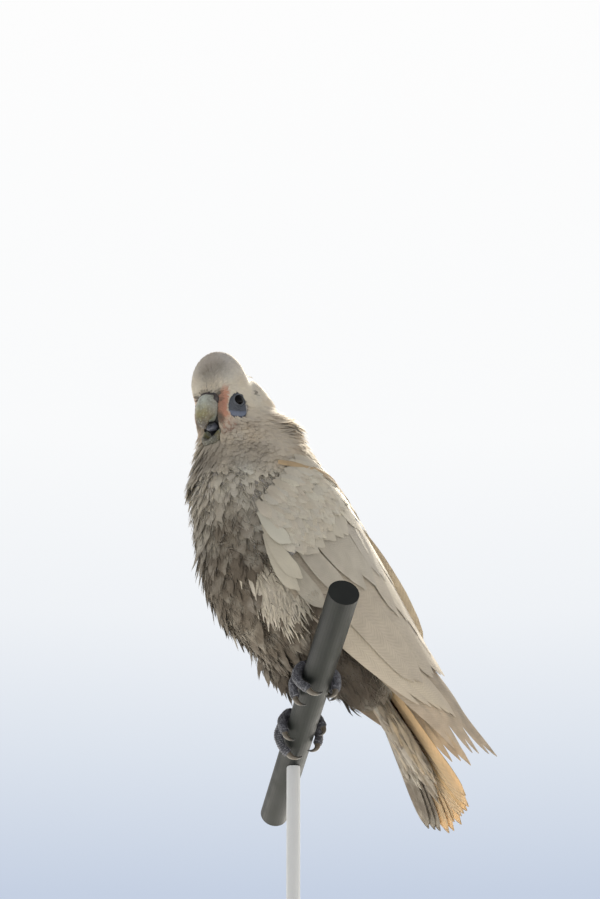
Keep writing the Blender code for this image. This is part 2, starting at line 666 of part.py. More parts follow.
def make_bird():
    """All of the bird, cut apart with a thin gap between neighbours."""
    sides = (("left", 1), ("right", -1))
    body = make_body()
    for side_name, mirror in sides:
        make_foot(side_name, mirror)
    wings = [make_wing(side_name, mirror, body) for side_name, mirror in sides]
    over_tail = [cutter.name.removeprefix("cutter_") for cutter in CUTTERS.objects
                 if cutter.name.startswith(("cutter_wing", "cutter_blade"))]
    thighs = [make_thigh(side_name, mirror) for side_name, mirror in sides]
    cut_away(make_tail(), "body", *over_tail)
    cut_away(make_undertail(), "body", "tail", *over_tail)
    cut_away(make_crest(), "body")
    make_bill()
    for side_name, mirror in sides:
        make_eye(side_name, mirror)
    cut_away(thighs[1], "thigh_left")
    for (side_name, mirror), thigh in zip(sides, thighs):
        cut_away(thigh, "body", "tarsus_" + side_name, "undertail", "wing_" + side_name)
    cut_away(body, "tarsus_left", "tarsus_right")
    head, rest = part_in_two(body, ("head", "rest"), on_head(*NECK_TOP),
                             bird(*NECK_TOP_WAY) - bird(0, 0, 0), "plumage")
    part_in_two(rest, ("neck", "trunk"), bird(*NECK_FOOT),
                bird(*NECK_FOOT_WAY) - bird(0, 0, 0), "plumage")
    for (side_name, mirror), wing in zip(sides, wings):
        names = (f"wing_{side_name}_coverts", f"wing_{side_name}_flight")
        part_in_two(wing, names, bird(*WING_PARTING) * (mirror, 1, 1),
                    bird(*WING_PARTING_WAY) - bird(0, 0, 0), "wing_feather")


for old in list(bpy.data.objects):
    bpy.data.objects.remove(old)
PARTS = bpy.data.collections.new("corella")
CUTTERS = bpy.data.collections.new("cutters")
for collection in (PARTS, CUTTERS):
    bpy.context.scene.collection.children.link(collection)
make_perch()
make_stand()
make_bird()
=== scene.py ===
import math

import bpy
import numpy as np
from bpy.props import FloatProperty, FloatVectorProperty, IntProperty, PointerProperty
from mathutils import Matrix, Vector


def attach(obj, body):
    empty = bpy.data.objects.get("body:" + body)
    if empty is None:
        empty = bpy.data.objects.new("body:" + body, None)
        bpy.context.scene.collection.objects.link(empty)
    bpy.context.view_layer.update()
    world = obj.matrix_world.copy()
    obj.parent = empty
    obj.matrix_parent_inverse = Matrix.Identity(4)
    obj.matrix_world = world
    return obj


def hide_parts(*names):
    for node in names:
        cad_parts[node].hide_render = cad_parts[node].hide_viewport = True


bl_info = {
    "name": "Perched little corella",
    "version": (1, 0, 0),
    "blender": (4, 5, 0),
    "location": "3D View > Sidebar > Corella",
    "description": "Feathers, bill, eyes, feet, cable and studio for a perched little corella",
    "category": "Object",
}

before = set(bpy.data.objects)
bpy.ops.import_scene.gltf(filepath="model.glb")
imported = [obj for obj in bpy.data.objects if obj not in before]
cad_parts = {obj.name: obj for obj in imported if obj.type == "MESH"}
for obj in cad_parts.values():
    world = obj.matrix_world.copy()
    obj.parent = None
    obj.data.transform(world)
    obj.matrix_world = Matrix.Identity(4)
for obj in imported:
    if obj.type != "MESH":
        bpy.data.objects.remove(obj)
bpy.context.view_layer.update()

# --- the body's measures, in metres, as its solids have them -----------------------------------
PERCH_HEIGHT = 0.220
PERCH_RADIUS = 0.0095
PERCH_SLOPE = math.radians(26.0)
PERCH_TURN = math.radians(10.0)
SET_FORWARD = 0.004
GAP = 0.0004
FOOT_PLACES = {"left": 0.030, "right": -0.021}
TOE_RADIUS = 0.0033
HEAD_CENTRE = (0.0049, 0.0597, 0.2011)
HEAD_TURN = math.radians(33.0)
HEAD_NOD = math.radians(12.0)
EYE_PLACE = (0.0139, 0.0000, 0.0)
EYE_OUT = (0.944, 0.330)        # the way that the left eye looks, to the side and ahead
EYE_RADIUS = 0.0042
LID_RADIUS = 0.0032
LID_DEPTH = math.sqrt(EYE_RADIUS**2 - LID_RADIUS**2)
LID_AHEAD = EYE_PLACE[1] + EYE_OUT[1] * LID_DEPTH
NECK_PLACE = (0.0117, 0.0213, -0.0397)
NECK_WAY = (-0.18, 0.44, 1.00)

TRUNK_STATIONS = (      # ahead, up, front reach, back reach, half width
    (-0.050, 0.020, 0.019, 0.018, 0.019),
    (-0.033, 0.046, 0.037, 0.032, 0.033),
    (-0.015, 0.073, 0.058, 0.043, 0.042),
    (0.004, 0.102, 0.065, 0.047, 0.047),
    (0.019, 0.130, 0.057, 0.042, 0.046),
    (0.031, 0.156, 0.048, 0.036, 0.040),
    (0.040, 0.176, 0.034, 0.033, 0.028),
    (0.0425, 0.187, 0.021, 0.029, 0.0205),
    (0.0450, 0.197, 0.011, 0.017, 0.0140),
)
HEAD_LOBES = (          # side, ahead, up; half widths; a lobe off the middle has its pair
    ((0.0000, -0.0015, 0.0125), (0.0186, 0.0185, 0.0236)),
    ((0.0000, -0.0075, 0.0040), (0.0180, 0.0175, 0.0230)),
    ((0.0000, -0.0225, -0.0030), (0.0205, 0.0195, 0.0235)),
    ((0.0072, 0.0040, -0.0080), (0.0085, 0.0115, 0.0150)),
    ((0.0080, -0.0100, -0.0230), (0.0115, 0.0170, 0.0130)),
)
WING_STATIONS = (       # low edge, high edge, bulge between them; the last is beyond the solid
    ((0.0425, 0.0490, 0.1150), (0.0290, 0.0160, 0.1580), 0.0080),
    ((0.0480, 0.0350, 0.0860), (0.0140, -0.0180, 0.1480), 0.0165),
    ((0.0475, 0.0190, 0.0620), (0.0100, -0.0370, 0.1280), 0.0170),
    ((0.0415, -0.0140, 0.0370), (0.0080, -0.0610, 0.0920), 0.0130),
    ((0.0330, -0.0550, 0.0110), (0.0080, -0.0870, 0.0470), 0.0070),
    ((0.0275, -0.0800, -0.0050), (0.0110, -0.1040, 0.0210), 0.0040),
    ((0.0240, -0.0960, -0.0190), (0.0150, -0.1130, 0.0010), 0.0020),
    ((0.0215, -0.1185, -0.0470), (0.0175, -0.1320, -0.0215), 0.0010),
)
TAIL_ROOT = (0.0, -0.049, 0.031)
TAIL_TIP = (0.0, -0.110, -0.069)
TAIL_ROLL = math.radians(13.0)


# --- places -------------------------------------------------------------------------------------
def bird(side, ahead, up):
    """Places on the bird, in world metres."""
    return np.stack(np.broadcast_arrays(side, -np.asarray(ahead) - SET_FORWARD, PERCH_HEIGHT + up), -1) * 1.0


def unit(vectors):
    """Vectors divided by their lengths."""
    return vectors / np.maximum(np.linalg.norm(vectors, axis=-1, keepdims=True), 1e-12)


def around(way, other, angle):
    """Directions square to a way, at angles round it from the one that is square to another too:
    one cos a + two sin a."""
    one = unit(np.cross(way, other))
    return one * np.cos(angle)[..., None] + np.cross(way, one) * np.sin(angle)[..., None]


PERCH_AXIS = np.array((math.cos(PERCH_TURN) * math.cos(PERCH_SLOPE),
                       -math.sin(PERCH_TURN) * math.cos(PERCH_SLOPE), math.sin(PERCH_SLOPE)))
PERCH_FRONT = np.array((-math.sin(PERCH_TURN), -math.cos(PERCH_TURN), 0.0))
PERCH_TOP = np.cross(PERCH_FRONT, PERCH_AXIS)
PERCH_MIDDLE = np.array((0.0, 0.0, PERCH_HEIGHT))
HEAD_FORE = np.array((math.sin(HEAD_TURN) * math.cos(HEAD_NOD),
                      -math.cos(HEAD_TURN) * math.cos(HEAD_NOD), -math.sin(HEAD_NOD)))
HEAD_LEFT = np.array((math.cos(HEAD_TURN), math.sin(HEAD_TURN), 0.0))
HEAD_UP = np.cross(HEAD_FORE, HEAD_LEFT)
HEAD_AXES = np.array((HEAD_LEFT, HEAD_FORE, HEAD_UP))


def on_head(side, ahead, up):
    """Places given in the head's own axes, in world metres."""
    return bird(*HEAD_CENTRE) + np.stack(np.broadcast_arrays(side, ahead, up), -1) @ HEAD_AXES


def in_head(places):
    """World places in the head's own axes: side, ahead, up."""
    return (places - bird(*HEAD_CENTRE)) @ HEAD_AXES.T


def in_bird(places):
    """World places as side, ahead and up of the bird."""
    return np.stack((places[..., 0], -places[..., 1] - SET_FORWARD, places[..., 2] - PERCH_HEIGHT), -1)


def round_cable(along, angle, height):
    """Places beside the cable: along it, at an angle from its top, at a height over its skin."""
    along, angle, height = (v[..., None] for v in np.broadcast_arrays(along, angle, height * 1.0))
    out = PERCH_TOP * np.cos(angle) + PERCH_FRONT * np.sin(angle)
    return PERCH_MIDDLE + PERCH_AXIS * along + out * (PERCH_RADIUS + height)


def smooth_rows(rows, steps):
    """Catmull-Rom through the rows of a table: p1 plus the usual cubic of its four neighbours."""
    rows = np.asarray(rows, float)
    ends = np.vstack((2 * rows[0] - rows[1], rows, 2 * rows[-1] - rows[-2]))
    t = np.arange((len(rows) - 1) * steps + 1) / steps
    i = np.minimum(t.astype(int), len(rows) - 2)
    t = (t - i)[:, None]
    p0, p1, p2, p3 = (ends[i + k] for k in range(4))
    return 0.5 * (2 * p1 + (p2 - p0) * t + (2 * p0 - 5 * p1 + 4 * p2 - p3) * t**2
                  + (3 * p1 - p0 - 3 * p2 + p3) * t**3)


def ramp(x, low, high):
    """0 below low, 1 above high, with a smooth step (3t^2 - 2t^3) between."""
    t = np.clip((x - low) / (high - low), 0.0, 1.0)
    return t * t * (3 - 2 * t)


def ripple(places, size, seed):
    """A soft random field between about -1 and 1: a mean of six sine waves in random directions."""
    rng = np.random.default_rng(seed)
    ways = unit(rng.normal(size=(6, 3))) * rng.uniform(0.6, 1.4, (6, 1)) * math.tau / size
    return np.sin(places @ ways.T + rng.uniform(0, math.tau, 6)).mean(-1) * 1.8


# --- the body as a field of distances -----------------------------------------------------------
def trunk_distance(p):
    """About how far places lie outside the trunk: across each spine station an egg of two half
    ellipses, closed at the ends by half ellipsoids; k0 (k0 - 1) / k1 for the ellipse's ratio k0."""
    rows = smooth_rows(TRUNK_STATIONS, 6)
    spine = rows[:, :2]
    way = unit(np.gradient(spine, axis=0))
    q = in_bird(p)
    along = q[:, 1:] @ way.T - (spine * way).sum(1)
    row = np.clip((along > 0).sum(1) - 1, 0, len(rows) - 2)
    pick = np.arange(len(q))
    before, after = along[pick, row], along[pick, row + 1]
    share = np.clip(before / np.maximum(before - after, 1e-9), 0, 1)[:, None]
    here = rows[row] * (1 - share) + rows[row + 1] * share
    fore = unit(way[row] * (1 - share) + way[row + 1] * share)
    rel = q[:, 1:] - here[:, :2]
    over = rel[:, 0] * fore[:, 1] - rel[:, 1] * fore[:, 0]
    beyond = (rel * fore).sum(1)
    reach = np.where(over > 0, here[:, 2], here[:, 3])
    parts = np.stack((q[:, 0], over, beyond), 1)
    halves = np.stack((here[:, 4], reach, np.full(len(q), 0.012)), 1)
    return ellipse_distance(parts, halves)


def ellipse_distance(parts, halves):
    """About how far a place is outside an ellipsoid with those half axes."""
    k0 = np.linalg.norm(parts / halves, axis=1)
    k1 = np.linalg.norm(parts / halves**2, axis=1)
    return k0 * (k0 - 1) / np.maximum(k1, 1e-6)


def limb_distance(p, points, radii):
    """Distance to a bent, tapered rod: the nearest place on its middle line less the radius."""
    best = np.full(len(p), 1e3)
    for a, b, ra, rb in zip(points, points[1:], radii, radii[1:]):
        t = np.clip((p - a) @ (b - a) / ((b - a) @ (b - a)), 0, 1)
        best = np.minimum(best, np.linalg.norm(p - a - t[:, None] * (b - a), axis=1) - ra - (rb - ra) * t)
    return best


def melt(a, b, k):
    """The smaller of two distances, rounded where they are within k of each other."""
    h = np.clip(0.5 + 0.5 * (b - a) / k, 0, 1)
    return b + (a - b) * h - k * h * (1 - h)


def thigh_line(side_name):
    """Points down the thigh from knee to ankle, and its radii."""
    mirror = 1 if side_name == "left" else -1
    ankle = round_cable(FOOT_PLACES[side_name], 0.0, 2 * TOE_RADIUS) + np.array((0.0, 0.004, 0.011))
    knee = bird(mirror * 0.033, 0.010, 0.066)
    t = np.array((0.0, 0.25, 0.5, 0.75, 1.0))[:, None]
    return knee + (ankle - knee) * t, np.array((0.013, 0.018, 0.017, 0.0125, 0.0075))


def body_distance(p):
    """The whole body: trunk, head and thighs melted together."""
    best = trunk_distance(p)
    head = np.full(len(p), 1e3)
    for (side, ahead, up), halves in HEAD_LOBES:
        for way in (1, -1) if side else (1,):
            parts = (p - on_head(way * side, ahead, up)) @ HEAD_AXES.T
            head = melt(head, ellipse_distance(parts, np.array(halves)), 0.003)
    best = melt(best, head, 0.006)
    for side_name in ("left", "right"):
        best = melt(best, limb_distance(p, *thigh_line(side_name)), 0.008)
    return best


class Field:
    """A grid of values that answers for any places by trilinear interpolation."""

    def __init__(self, function, low, high, step):
        self.low, self.step = np.asarray(low, float), step
        axes = [np.arange(a, b, step) for a, b in zip(low, high)]
        self.shape = tuple(len(a) for a in axes)
        grid = np.stack(np.meshgrid(*axes, indexing="ij"), -1).reshape(-1, 3)
        values = np.concatenate([function(part) for part in np.array_split(grid, len(grid) // 60000 + 1)])
        values = self.blur(values.reshape(self.shape))
        slopes = np.stack(np.gradient(values, step), -1)
        steep = np.clip(np.linalg.norm(slopes, axis=-1), 0.5, 2.0)
        self.grid = grid.reshape(*self.shape, 3)
        self.values = values / steep
        self.slopes = slopes
        self.packed = np.concatenate((self.values[..., None], slopes), -1).reshape(-1, 4)

    @staticmethod
    def blur(values):
        """Each value shared with its neighbours as 1 2 1 along every axis."""
        for axis in range(3):
            v = np.moveaxis(values, axis, 0)
            v[1:-1] = (v[:-2] + 2 * v[1:-1] + v[2:]) / 4
        return values

    def ask(self, places):
        """The distance and the outward direction at places of any shape."""
        flat = places.reshape(-1, 3)
        x = (flat - self.low) / self.step
        held = np.clip(x, 0, np.array(self.shape) - 1.001)
        away = np.linalg.norm(x - held, axis=1) * self.step
        i = held.astype(int)
        w = held - i
        total = 0
        for dx in (0, 1):
            for dy in (0, 1):
                for dz in (0, 1):
                    at = ((i[:, 0] + dx) * self.shape[1] + i[:, 1] + dy) * self.shape[2] + i[:, 2] + dz
                    part = (np.abs(1 - dx - w[:, 0]) * np.abs(1 - dy - w[:, 1])
                            * np.abs(1 - dz - w[:, 2]))[:, None]
                    total = total + self.packed[at] * part
        distance = (total[:, 0] + away).reshape(places.shape[:-1])
        return distance, unit(total[:, 1:]).reshape(places.shape)

    def settle(self, places, height=0.0, rounds=3):
        """Moves places straight to where they are at a height over the surface."""
        for _ in range(rounds):
            distance, out = self.ask(places)
            places = places + out * np.clip(height - distance, -0.02, 0.02)[..., None]
        return places


BODY = Field(body_distance, (-0.074, -0.102, 0.214), (0.074, 0.080, 0.464), 0.002)


def surface_net(values, grid):
    """Points and quads of the closed surface where a grid of values changes sign. Each crossed cell
    has one point, the mean of the crossings on its edges, and each crossed edge has one quad."""
    shape = np.array(values.shape)
    stride = np.array((shape[1] * shape[2], shape[2], 1))
    flat, places = values.ravel(), grid.reshape(-1, 3)
    total = np.zeros((flat.size, 3))
    count = np.zeros(flat.size)
    quads = []
    for axis in range(3):
        one, two = stride[(axis + 1) % 3], stride[(axis + 2) % 3]
        first = np.flatnonzero((flat[:-stride[axis]] < 0) != (flat[stride[axis]:] < 0))
        second = first + stride[axis]
        share = (flat[first] / (flat[first] - flat[second]))[:, None]
        crossing = places[first] * (1 - share) + places[second] * share
        cells = np.stack((first, first - one, first - one - two, first - two), 1)
        for k in range(4):
            np.add.at(total, cells[:, k], crossing)
            np.add.at(count, cells[:, k], 1)
        quads.append(np.where((flat[first] < 0)[:, None], cells, cells[:, ::-1]))
    quads = np.concatenate(quads)
    used, index = np.unique(quads, return_inverse=True)
    return total[used] / count[used][:, None], index.reshape(quads.shape)


# --- the wing as a sheet ------------------------------------------------------------------------
def wing_sheet():
    """The left folded wing's outer face, on a grid of places along it and across it: a bowed chord
    from the low edge to the high edge, pushed out until it clears the body, then evened."""
    rows = smooth_rows([(*low, *high, bulge) for low, high, bulge in WING_STATIONS], 10)
    across = np.linspace(0, 1, 25)
    low, high = bird(*rows[:, :3].T), bird(*rows[:, 3:6].T)
    chord = unit(high - low)
    outward = np.array((1.0, 0.35, 0.30))
    outward = unit(outward - chord * (chord @ outward)[:, None])[:, None]
    bow = rows[:, 6:7] * 4 * across * (1 - across)
    sheet = low[:, None] + across[None, :, None] * (high - low)[:, None] + bow[..., None] * outward
    for _ in range(8):
        distance, _ = BODY.ask(sheet)
        sheet = sheet + outward * np.clip(0.0012 - distance, 0, 0.01)[..., None]
    for _ in range(6):
        sheet[1:-1] = (sheet[:-2] + 2 * sheet[1:-1] + sheet[2:]) / 4
        sheet[:, 1:-1] = (sheet[:, :-2] + 2 * sheet[:, 1:-1] + sheet[:, 2:]) / 4
    return sheet


WING = wing_sheet()
WING_OUT = unit(np.cross(np.gradient(WING, axis=0), np.gradient(WING, axis=1)))


def on_wing(along, across):
    """Places on the wing's sheet and the outward direction there; along runs 0 to 7 from shoulder to
    tip and across 0 to 1 from the low edge to the high one, and both may run a little past."""
    x = np.asarray(along, float) * 10
    y = np.asarray(across, float) * 24
    i = np.clip(x.astype(int), 0, len(WING) - 2)
    j = np.clip(np.floor(y).astype(int), 0, 23)
    u, v = (x - i)[..., None], (y - j)[..., None]

    def blend(g):
        return ((g[i, j] * (1 - u) + g[i + 1, j] * u) * (1 - v)
                + (g[i, j + 1] * (1 - u) + g[i + 1, j + 1] * u) * v)

    return blend(WING), unit(blend(WING_OUT))


# --- closed thin blades -------------------------------------------------------------------------
PATCH = 0.003                   # side of a blade's square on the bake's map
MOST_TRIANGLES = 190000         # in one piece of the coat


def blade_faces(rows, columns):
    """Quads of one closed blade: an upper grid and an under grid that share their rim."""
    upper = np.arange(rows * columns).reshape(rows, columns)
    under = upper.copy()
    under[1:-1, 1:-1] = rows * columns + np.arange((rows - 2) * (columns - 2)).reshape(rows - 2, columns - 2)

    def quads(g):
        return np.stack((g[:-1, :-1], g[:-1, 1:], g[1:, 1:], g[1:, :-1]), -1).reshape(-1, 4)

    return np.concatenate((quads(upper), quads(under)[:, ::-1]))


def at_share(table, share):
    """Rows of (N, L, 3) tables at shares (N, R, K) of their length, by straight interpolation."""
    x = np.clip(share, 0, 1) * (table.shape[1] - 1)
    i = np.minimum(x.astype(int), table.shape[1] - 2)
    w = (x - i)[..., None]
    n = np.arange(len(table))[:, None, None]
    return table[n, i] * (1 - w) + table[n, i + 1] * w


def blades(line, over, half, shape, reach, across, thick, cup=0.0, shaft=0.0, rows=6, even=0.0):
    """Many closed blades at once. line (N, L, 3) is each middle line and over (N, L, 3) the way its
    face looks. A point is line(t reach) + side u half shape(t) - over cup u^2 half, and the two
    faces part by thick (1 - u^2) (4 t (1 - t))^0.5, so they meet along the rim. With even above 0,
    the shading turns that far from the blade's own face to the body's, as on soft, close plumage."""
    count = len(line)
    ahead = unit(np.gradient(line, axis=1))
    body = unit(over)
    over = unit(over - ahead * (over * ahead).sum(-1, keepdims=True))
    side = np.cross(ahead, over)
    t = np.linspace(0, 1, rows)
    u = np.asarray(across, float)
    share = t[None, :, None] * np.broadcast_to(reach, (count, len(u)))[:, None, :]
    places, out, beside, body = (at_share(table, share) for table in (line, over, side, body))
    half = np.broadcast_to(half, (count,))[:, None, None]
    width = half * np.asarray(shape(t))[None, :, None] * u
    cup = np.broadcast_to(cup, (count,))[:, None, None]
    places = places + beside * width[..., None] - out * (cup * u**2 * half * np.ones((1, rows, 1)))[..., None]
    lens = thick / 2 * (1 - u**2)[None, :] * np.sqrt(np.clip(4 * t * (1 - t), 0, 1))[:, None]
    lens = lens + shaft * np.exp(-(u / 0.10)**2)[None, :] * np.sqrt(np.clip(4 * t * (1 - t), 0, 1))[:, None]
    upper = places + out * lens[None, ..., None]
    under = (places - out * lens[None, ..., None])[:, 1:-1, 1:-1]
    vertices = np.concatenate((upper.reshape(count, -1, 3), under.reshape(count, -1, 3)), 1)
    along = np.broadcast_to(t[:, None], (rows, len(u)))
    wide = np.broadcast_to(u[None, :], (rows, len(u)))
    along = np.concatenate((along.ravel(), along[1:-1, 1:-1].ravel()))
    wide = np.concatenate((wide.ravel(), wide[1:-1, 1:-1].ravel()))
    faces = blade_faces(rows, len(u))
    size = vertices.shape[1]
    faces = (faces[None] + size * np.arange(count)[:, None, None]).reshape(-1, 4)
    shape = {"vertices": vertices.reshape(-1, 3), "faces": faces, "along": np.tile(along, count),
             "across": np.tile(wide, count), "each": size, "count": count}
    if np.any(even):
        even = np.broadcast_to(even, (count,))[:, None, None, None]
        face = unit(out + beside * (2 * cup * u * np.ones((1, rows, 1)))[..., None])
        face = unit(face * (1 - even) + body * even)
        face = np.concatenate((face.reshape(count, -1, 3), face[:, 1:-1, 1:-1].reshape(count, -1, 3)), 1)
        shape["normals"] = face.reshape(-1, 3)
        shape["turned"] = np.tile(np.repeat((1.0, -1.0), (rows - 1) * (len(u) - 1)), count)
    return shape


def with_looks(shape, patch, **looks):
    """Gives a set of blades its values, one for all or one per blade, and its patch of the bake's map:
    a small square at the blade's own place on the unwrapped skin."""
    for name, value in looks.items():
        shape[name] = np.repeat(np.broadcast_to(value, (shape["count"],)), shape["each"])
    centre = np.repeat(np.clip(patch, PATCH / 2 + 0.001, 0.999 - PATCH / 2), shape["each"], axis=0)
    shape["patch"] = centre + np.stack((shape["across"] / 2, shape["along"] - 0.5), 1) * PATCH
    return shape


def ringed(rings):
    """A closed skin over rings (L, K, 3): quads between rings, and fans to the middle of each end."""
    length, count = rings.shape[:2]
    g = np.arange(length * count).reshape(length, count)
    h = np.roll(g, -1, axis=1)
    quads = np.stack((g[:-1], h[:-1], h[1:], g[1:]), -1).reshape(-1, 4)
    first, last = length * count, length * count + 1
    fans = np.concatenate((np.stack((h[0], g[0], np.full(count, first)), 1),
                           np.stack((g[-1], h[-1], np.full(count, last)), 1)))
    vertices = np.concatenate((rings.reshape(-1, 3), rings[:1].mean(1), rings[-1:].mean(1)))
    along = np.concatenate((np.repeat(np.linspace(0, 1, length), count), (0.0, 1.0)))
    turn = np.concatenate((np.tile(np.arange(count) / count, length), (0.5, 0.5)))
    return {"vertices": vertices, "faces": quads, "fans": fans, "along": along, "across": turn}


def tube(points, radii, sides=16, squash=1.0, upright=(0.0, 0.0, 1.0)):
    """A round skin round a middle line: each ring is radius (cos a, squash sin a) square to it."""
    points = np.asarray(points, float)
    ahead = unit(np.gradient(points, axis=0))
    side = unit(np.cross(ahead, np.asarray(upright, float)))
    over = np.cross(side, ahead)
    angle = np.arange(sides) * math.tau / sides
    ring = (side[:, None] * np.cos(angle)[None, :, None]
            + over[:, None] * (squash * np.sin(angle))[None, :, None])
    return ringed((points[:, None] + ring * np.asarray(radii, float)[:, None, None])[:, ::-1])


# --- pieces -------------------------------------------------------------------------------------
def make_piece(name, shapes, material, replaced=()):
    """One mesh object from several shapes: their points and faces put end to end, their values as
    attributes and, if they have patches, the bake's map."""
    mesh = bpy.data.meshes.new(name)
    starts = np.cumsum([0] + [len(s["vertices"]) for s in shapes])
    vertices = np.concatenate([s["vertices"] for s in shapes])
    loops, totals = [], []
    for shape, start in zip(shapes, starts):
        for key in ("faces", "fans"):
            if key in shape:
                loops.append((shape[key] + start).ravel())
                totals.append(np.full(len(shape[key]), shape[key].shape[1]))
    loops, totals = np.concatenate(loops), np.concatenate(totals)
    mesh.vertices.add(len(vertices))
    mesh.vertices.foreach_set("co", vertices.astype(np.float32).ravel())
    mesh.loops.add(len(loops))
    mesh.loops.foreach_set("vertex_index", loops.astype(np.int32))
    mesh.polygons.add(len(totals))
    mesh.polygons.foreach_set("loop_start", (np.cumsum(totals) - totals).astype(np.int32))
    mesh.update(calc_edges=True)
    skip = {"vertices", "faces", "fans", "each", "count", "patch", "normals", "turned"}
    for key in sorted(set().union(*shapes) - skip):
        values = np.concatenate([np.broadcast_to(s.get(key, 0.0), (len(s["vertices"]),)) for s in shapes])
        mesh.attributes.new(key, "FLOAT", "POINT").data.foreach_set("value", values.astype(np.float32))
    if all("patch" in s for s in shapes):
        patch = np.concatenate([s["patch"] for s in shapes])
        mesh.uv_layers.new(name="OFBake").data.foreach_set("uv", patch[loops].astype(np.float32).ravel())
    if mesh.validate():
        raise RuntimeError(f"{name} has faulty faces")
    mesh.shade_smooth()
    if all("normals" in s for s in shapes):
        normals, turned = (np.concatenate([s[key] for s in shapes]) for key in ("normals", "turned"))
        mesh.normals_split_custom_set(normals[loops] * np.repeat(turned, totals)[:, None])
    mesh.materials.append(material)
    piece = bpy.data.objects.new(name, mesh)
    bpy.context.scene.collection.objects.link(piece)
    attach(piece, "root")
    if replaced:
        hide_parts(*replaced)


def make_coat(name, shape, material):
    """Blades as several pieces, none with more than the most triangles."""
    per_blade = 2 * len(shape["faces"]) // shape["count"]
    parts = -(-shape["count"] * per_blade // MOST_TRIANGLES)
    for number, picked in enumerate(np.array_split(np.arange(shape["count"]), parts)):
        first, last = picked[0], picked[-1] + 1
        points = slice(first * shape["each"], last * shape["each"])
        rows = slice(first * per_blade // 2, last * per_blade // 2)
        part = {key: value[points] for key, value in shape.items()
                if np.ndim(value) and key != "faces" and len(value) == len(shape["vertices"])}
        part["faces"] = shape["faces"][rows] - points.start
        if "turned" in shape:
            part["turned"] = shape["turned"][rows]
        make_piece(f"{name}_{number + 1}", [part], material)


# --- materials ----------------------------------------------------------------------------------
def linear(text):
    """An sRGB hex colour as the linear one that shaders take."""
    part = np.array([int(text[i:i + 2], 16) for i in (1, 3, 5)]) / 255
    return tuple(np.where(part <= 0.04045, part / 12.92, ((part + 0.055) / 1.055) ** 2.4)) + (1.0,)


def new_material(name):
    """An empty material, its nodes and its one shader."""
    material = bpy.data.materials.new(name)
    material.use_nodes = True
    return material, material.node_tree, material.node_tree.nodes["Principled BSDF"]


def node(tree, kind, values=(), **settings):
    """Adds a node, sets its own settings, and sets or links its sockets by name or number."""
    made = tree.nodes.new(kind)
    for key, value in settings.items():
        setattr(made, key, value)
    for key, value in dict(values).items():
        socket = made.inputs[key]
        if isinstance(value, bpy.types.NodeSocket):
            tree.links.new(value, socket)
        else:
            socket.default_value = value
    return made


def mixed(tree, factor, first, second):
    """A node that blends two colours by a factor; its result is what it returns."""
    return node(tree, "ShaderNodeMix", {0: factor, 6: first, 7: second}, data_type="RGBA").outputs[2]


def value_of(tree, name):
    """The value that a piece carries under this name."""
    return node(tree, "ShaderNodeAttribute", attribute_name=name).outputs["Fac"]


def maths(tree, operation, *values):
    """One sum on numbers."""
    return node(tree, "ShaderNodeMath", dict(enumerate(values)), operation=operation).outputs[0]


def speckle(tree, millimetres, detail=3.0, stretch=(1.0, 1.0, 1.0)):
    """Noise whose lumps are about this many millimetres across, on Object coordinates."""
    place = node(tree, "ShaderNodeTexCoord").outputs["Object"]
    place = node(tree, "ShaderNodeMapping", {"Vector": place, "Scale": stretch}).outputs[0]
    return node(tree, "ShaderNodeTexNoise", {"Vector": place, "Scale": 1000.0 / millimetres,
                                             "Detail": detail}).outputs["Fac"]


def between(tree, value, low, high):
    """0 where a value is at low, 1 where it is at high, straight between."""
    return node(tree, "ShaderNodeMapRange", {"Value": value, "From Min": low, "From Max": high}).outputs[0]


def finished(made, colour, relief=None, **constants):
    """A material with its colour and its relief (height, strength and depth in metres) linked, and
    its shader's constants set; an underscore stands for a space in their names."""
    material, tree, shader = made
    tree.links.new(colour, shader.inputs["Base Color"])
    if relief:
        bump = node(tree, "ShaderNodeBump", dict(zip(("Height", "Strength", "Distance"), relief)))
        tree.links.new(bump.outputs[0], shader.inputs["Normal"])
    for name, value in constants.items():
        shader.inputs[name.replace("_", " ")].default_value = value
    return material


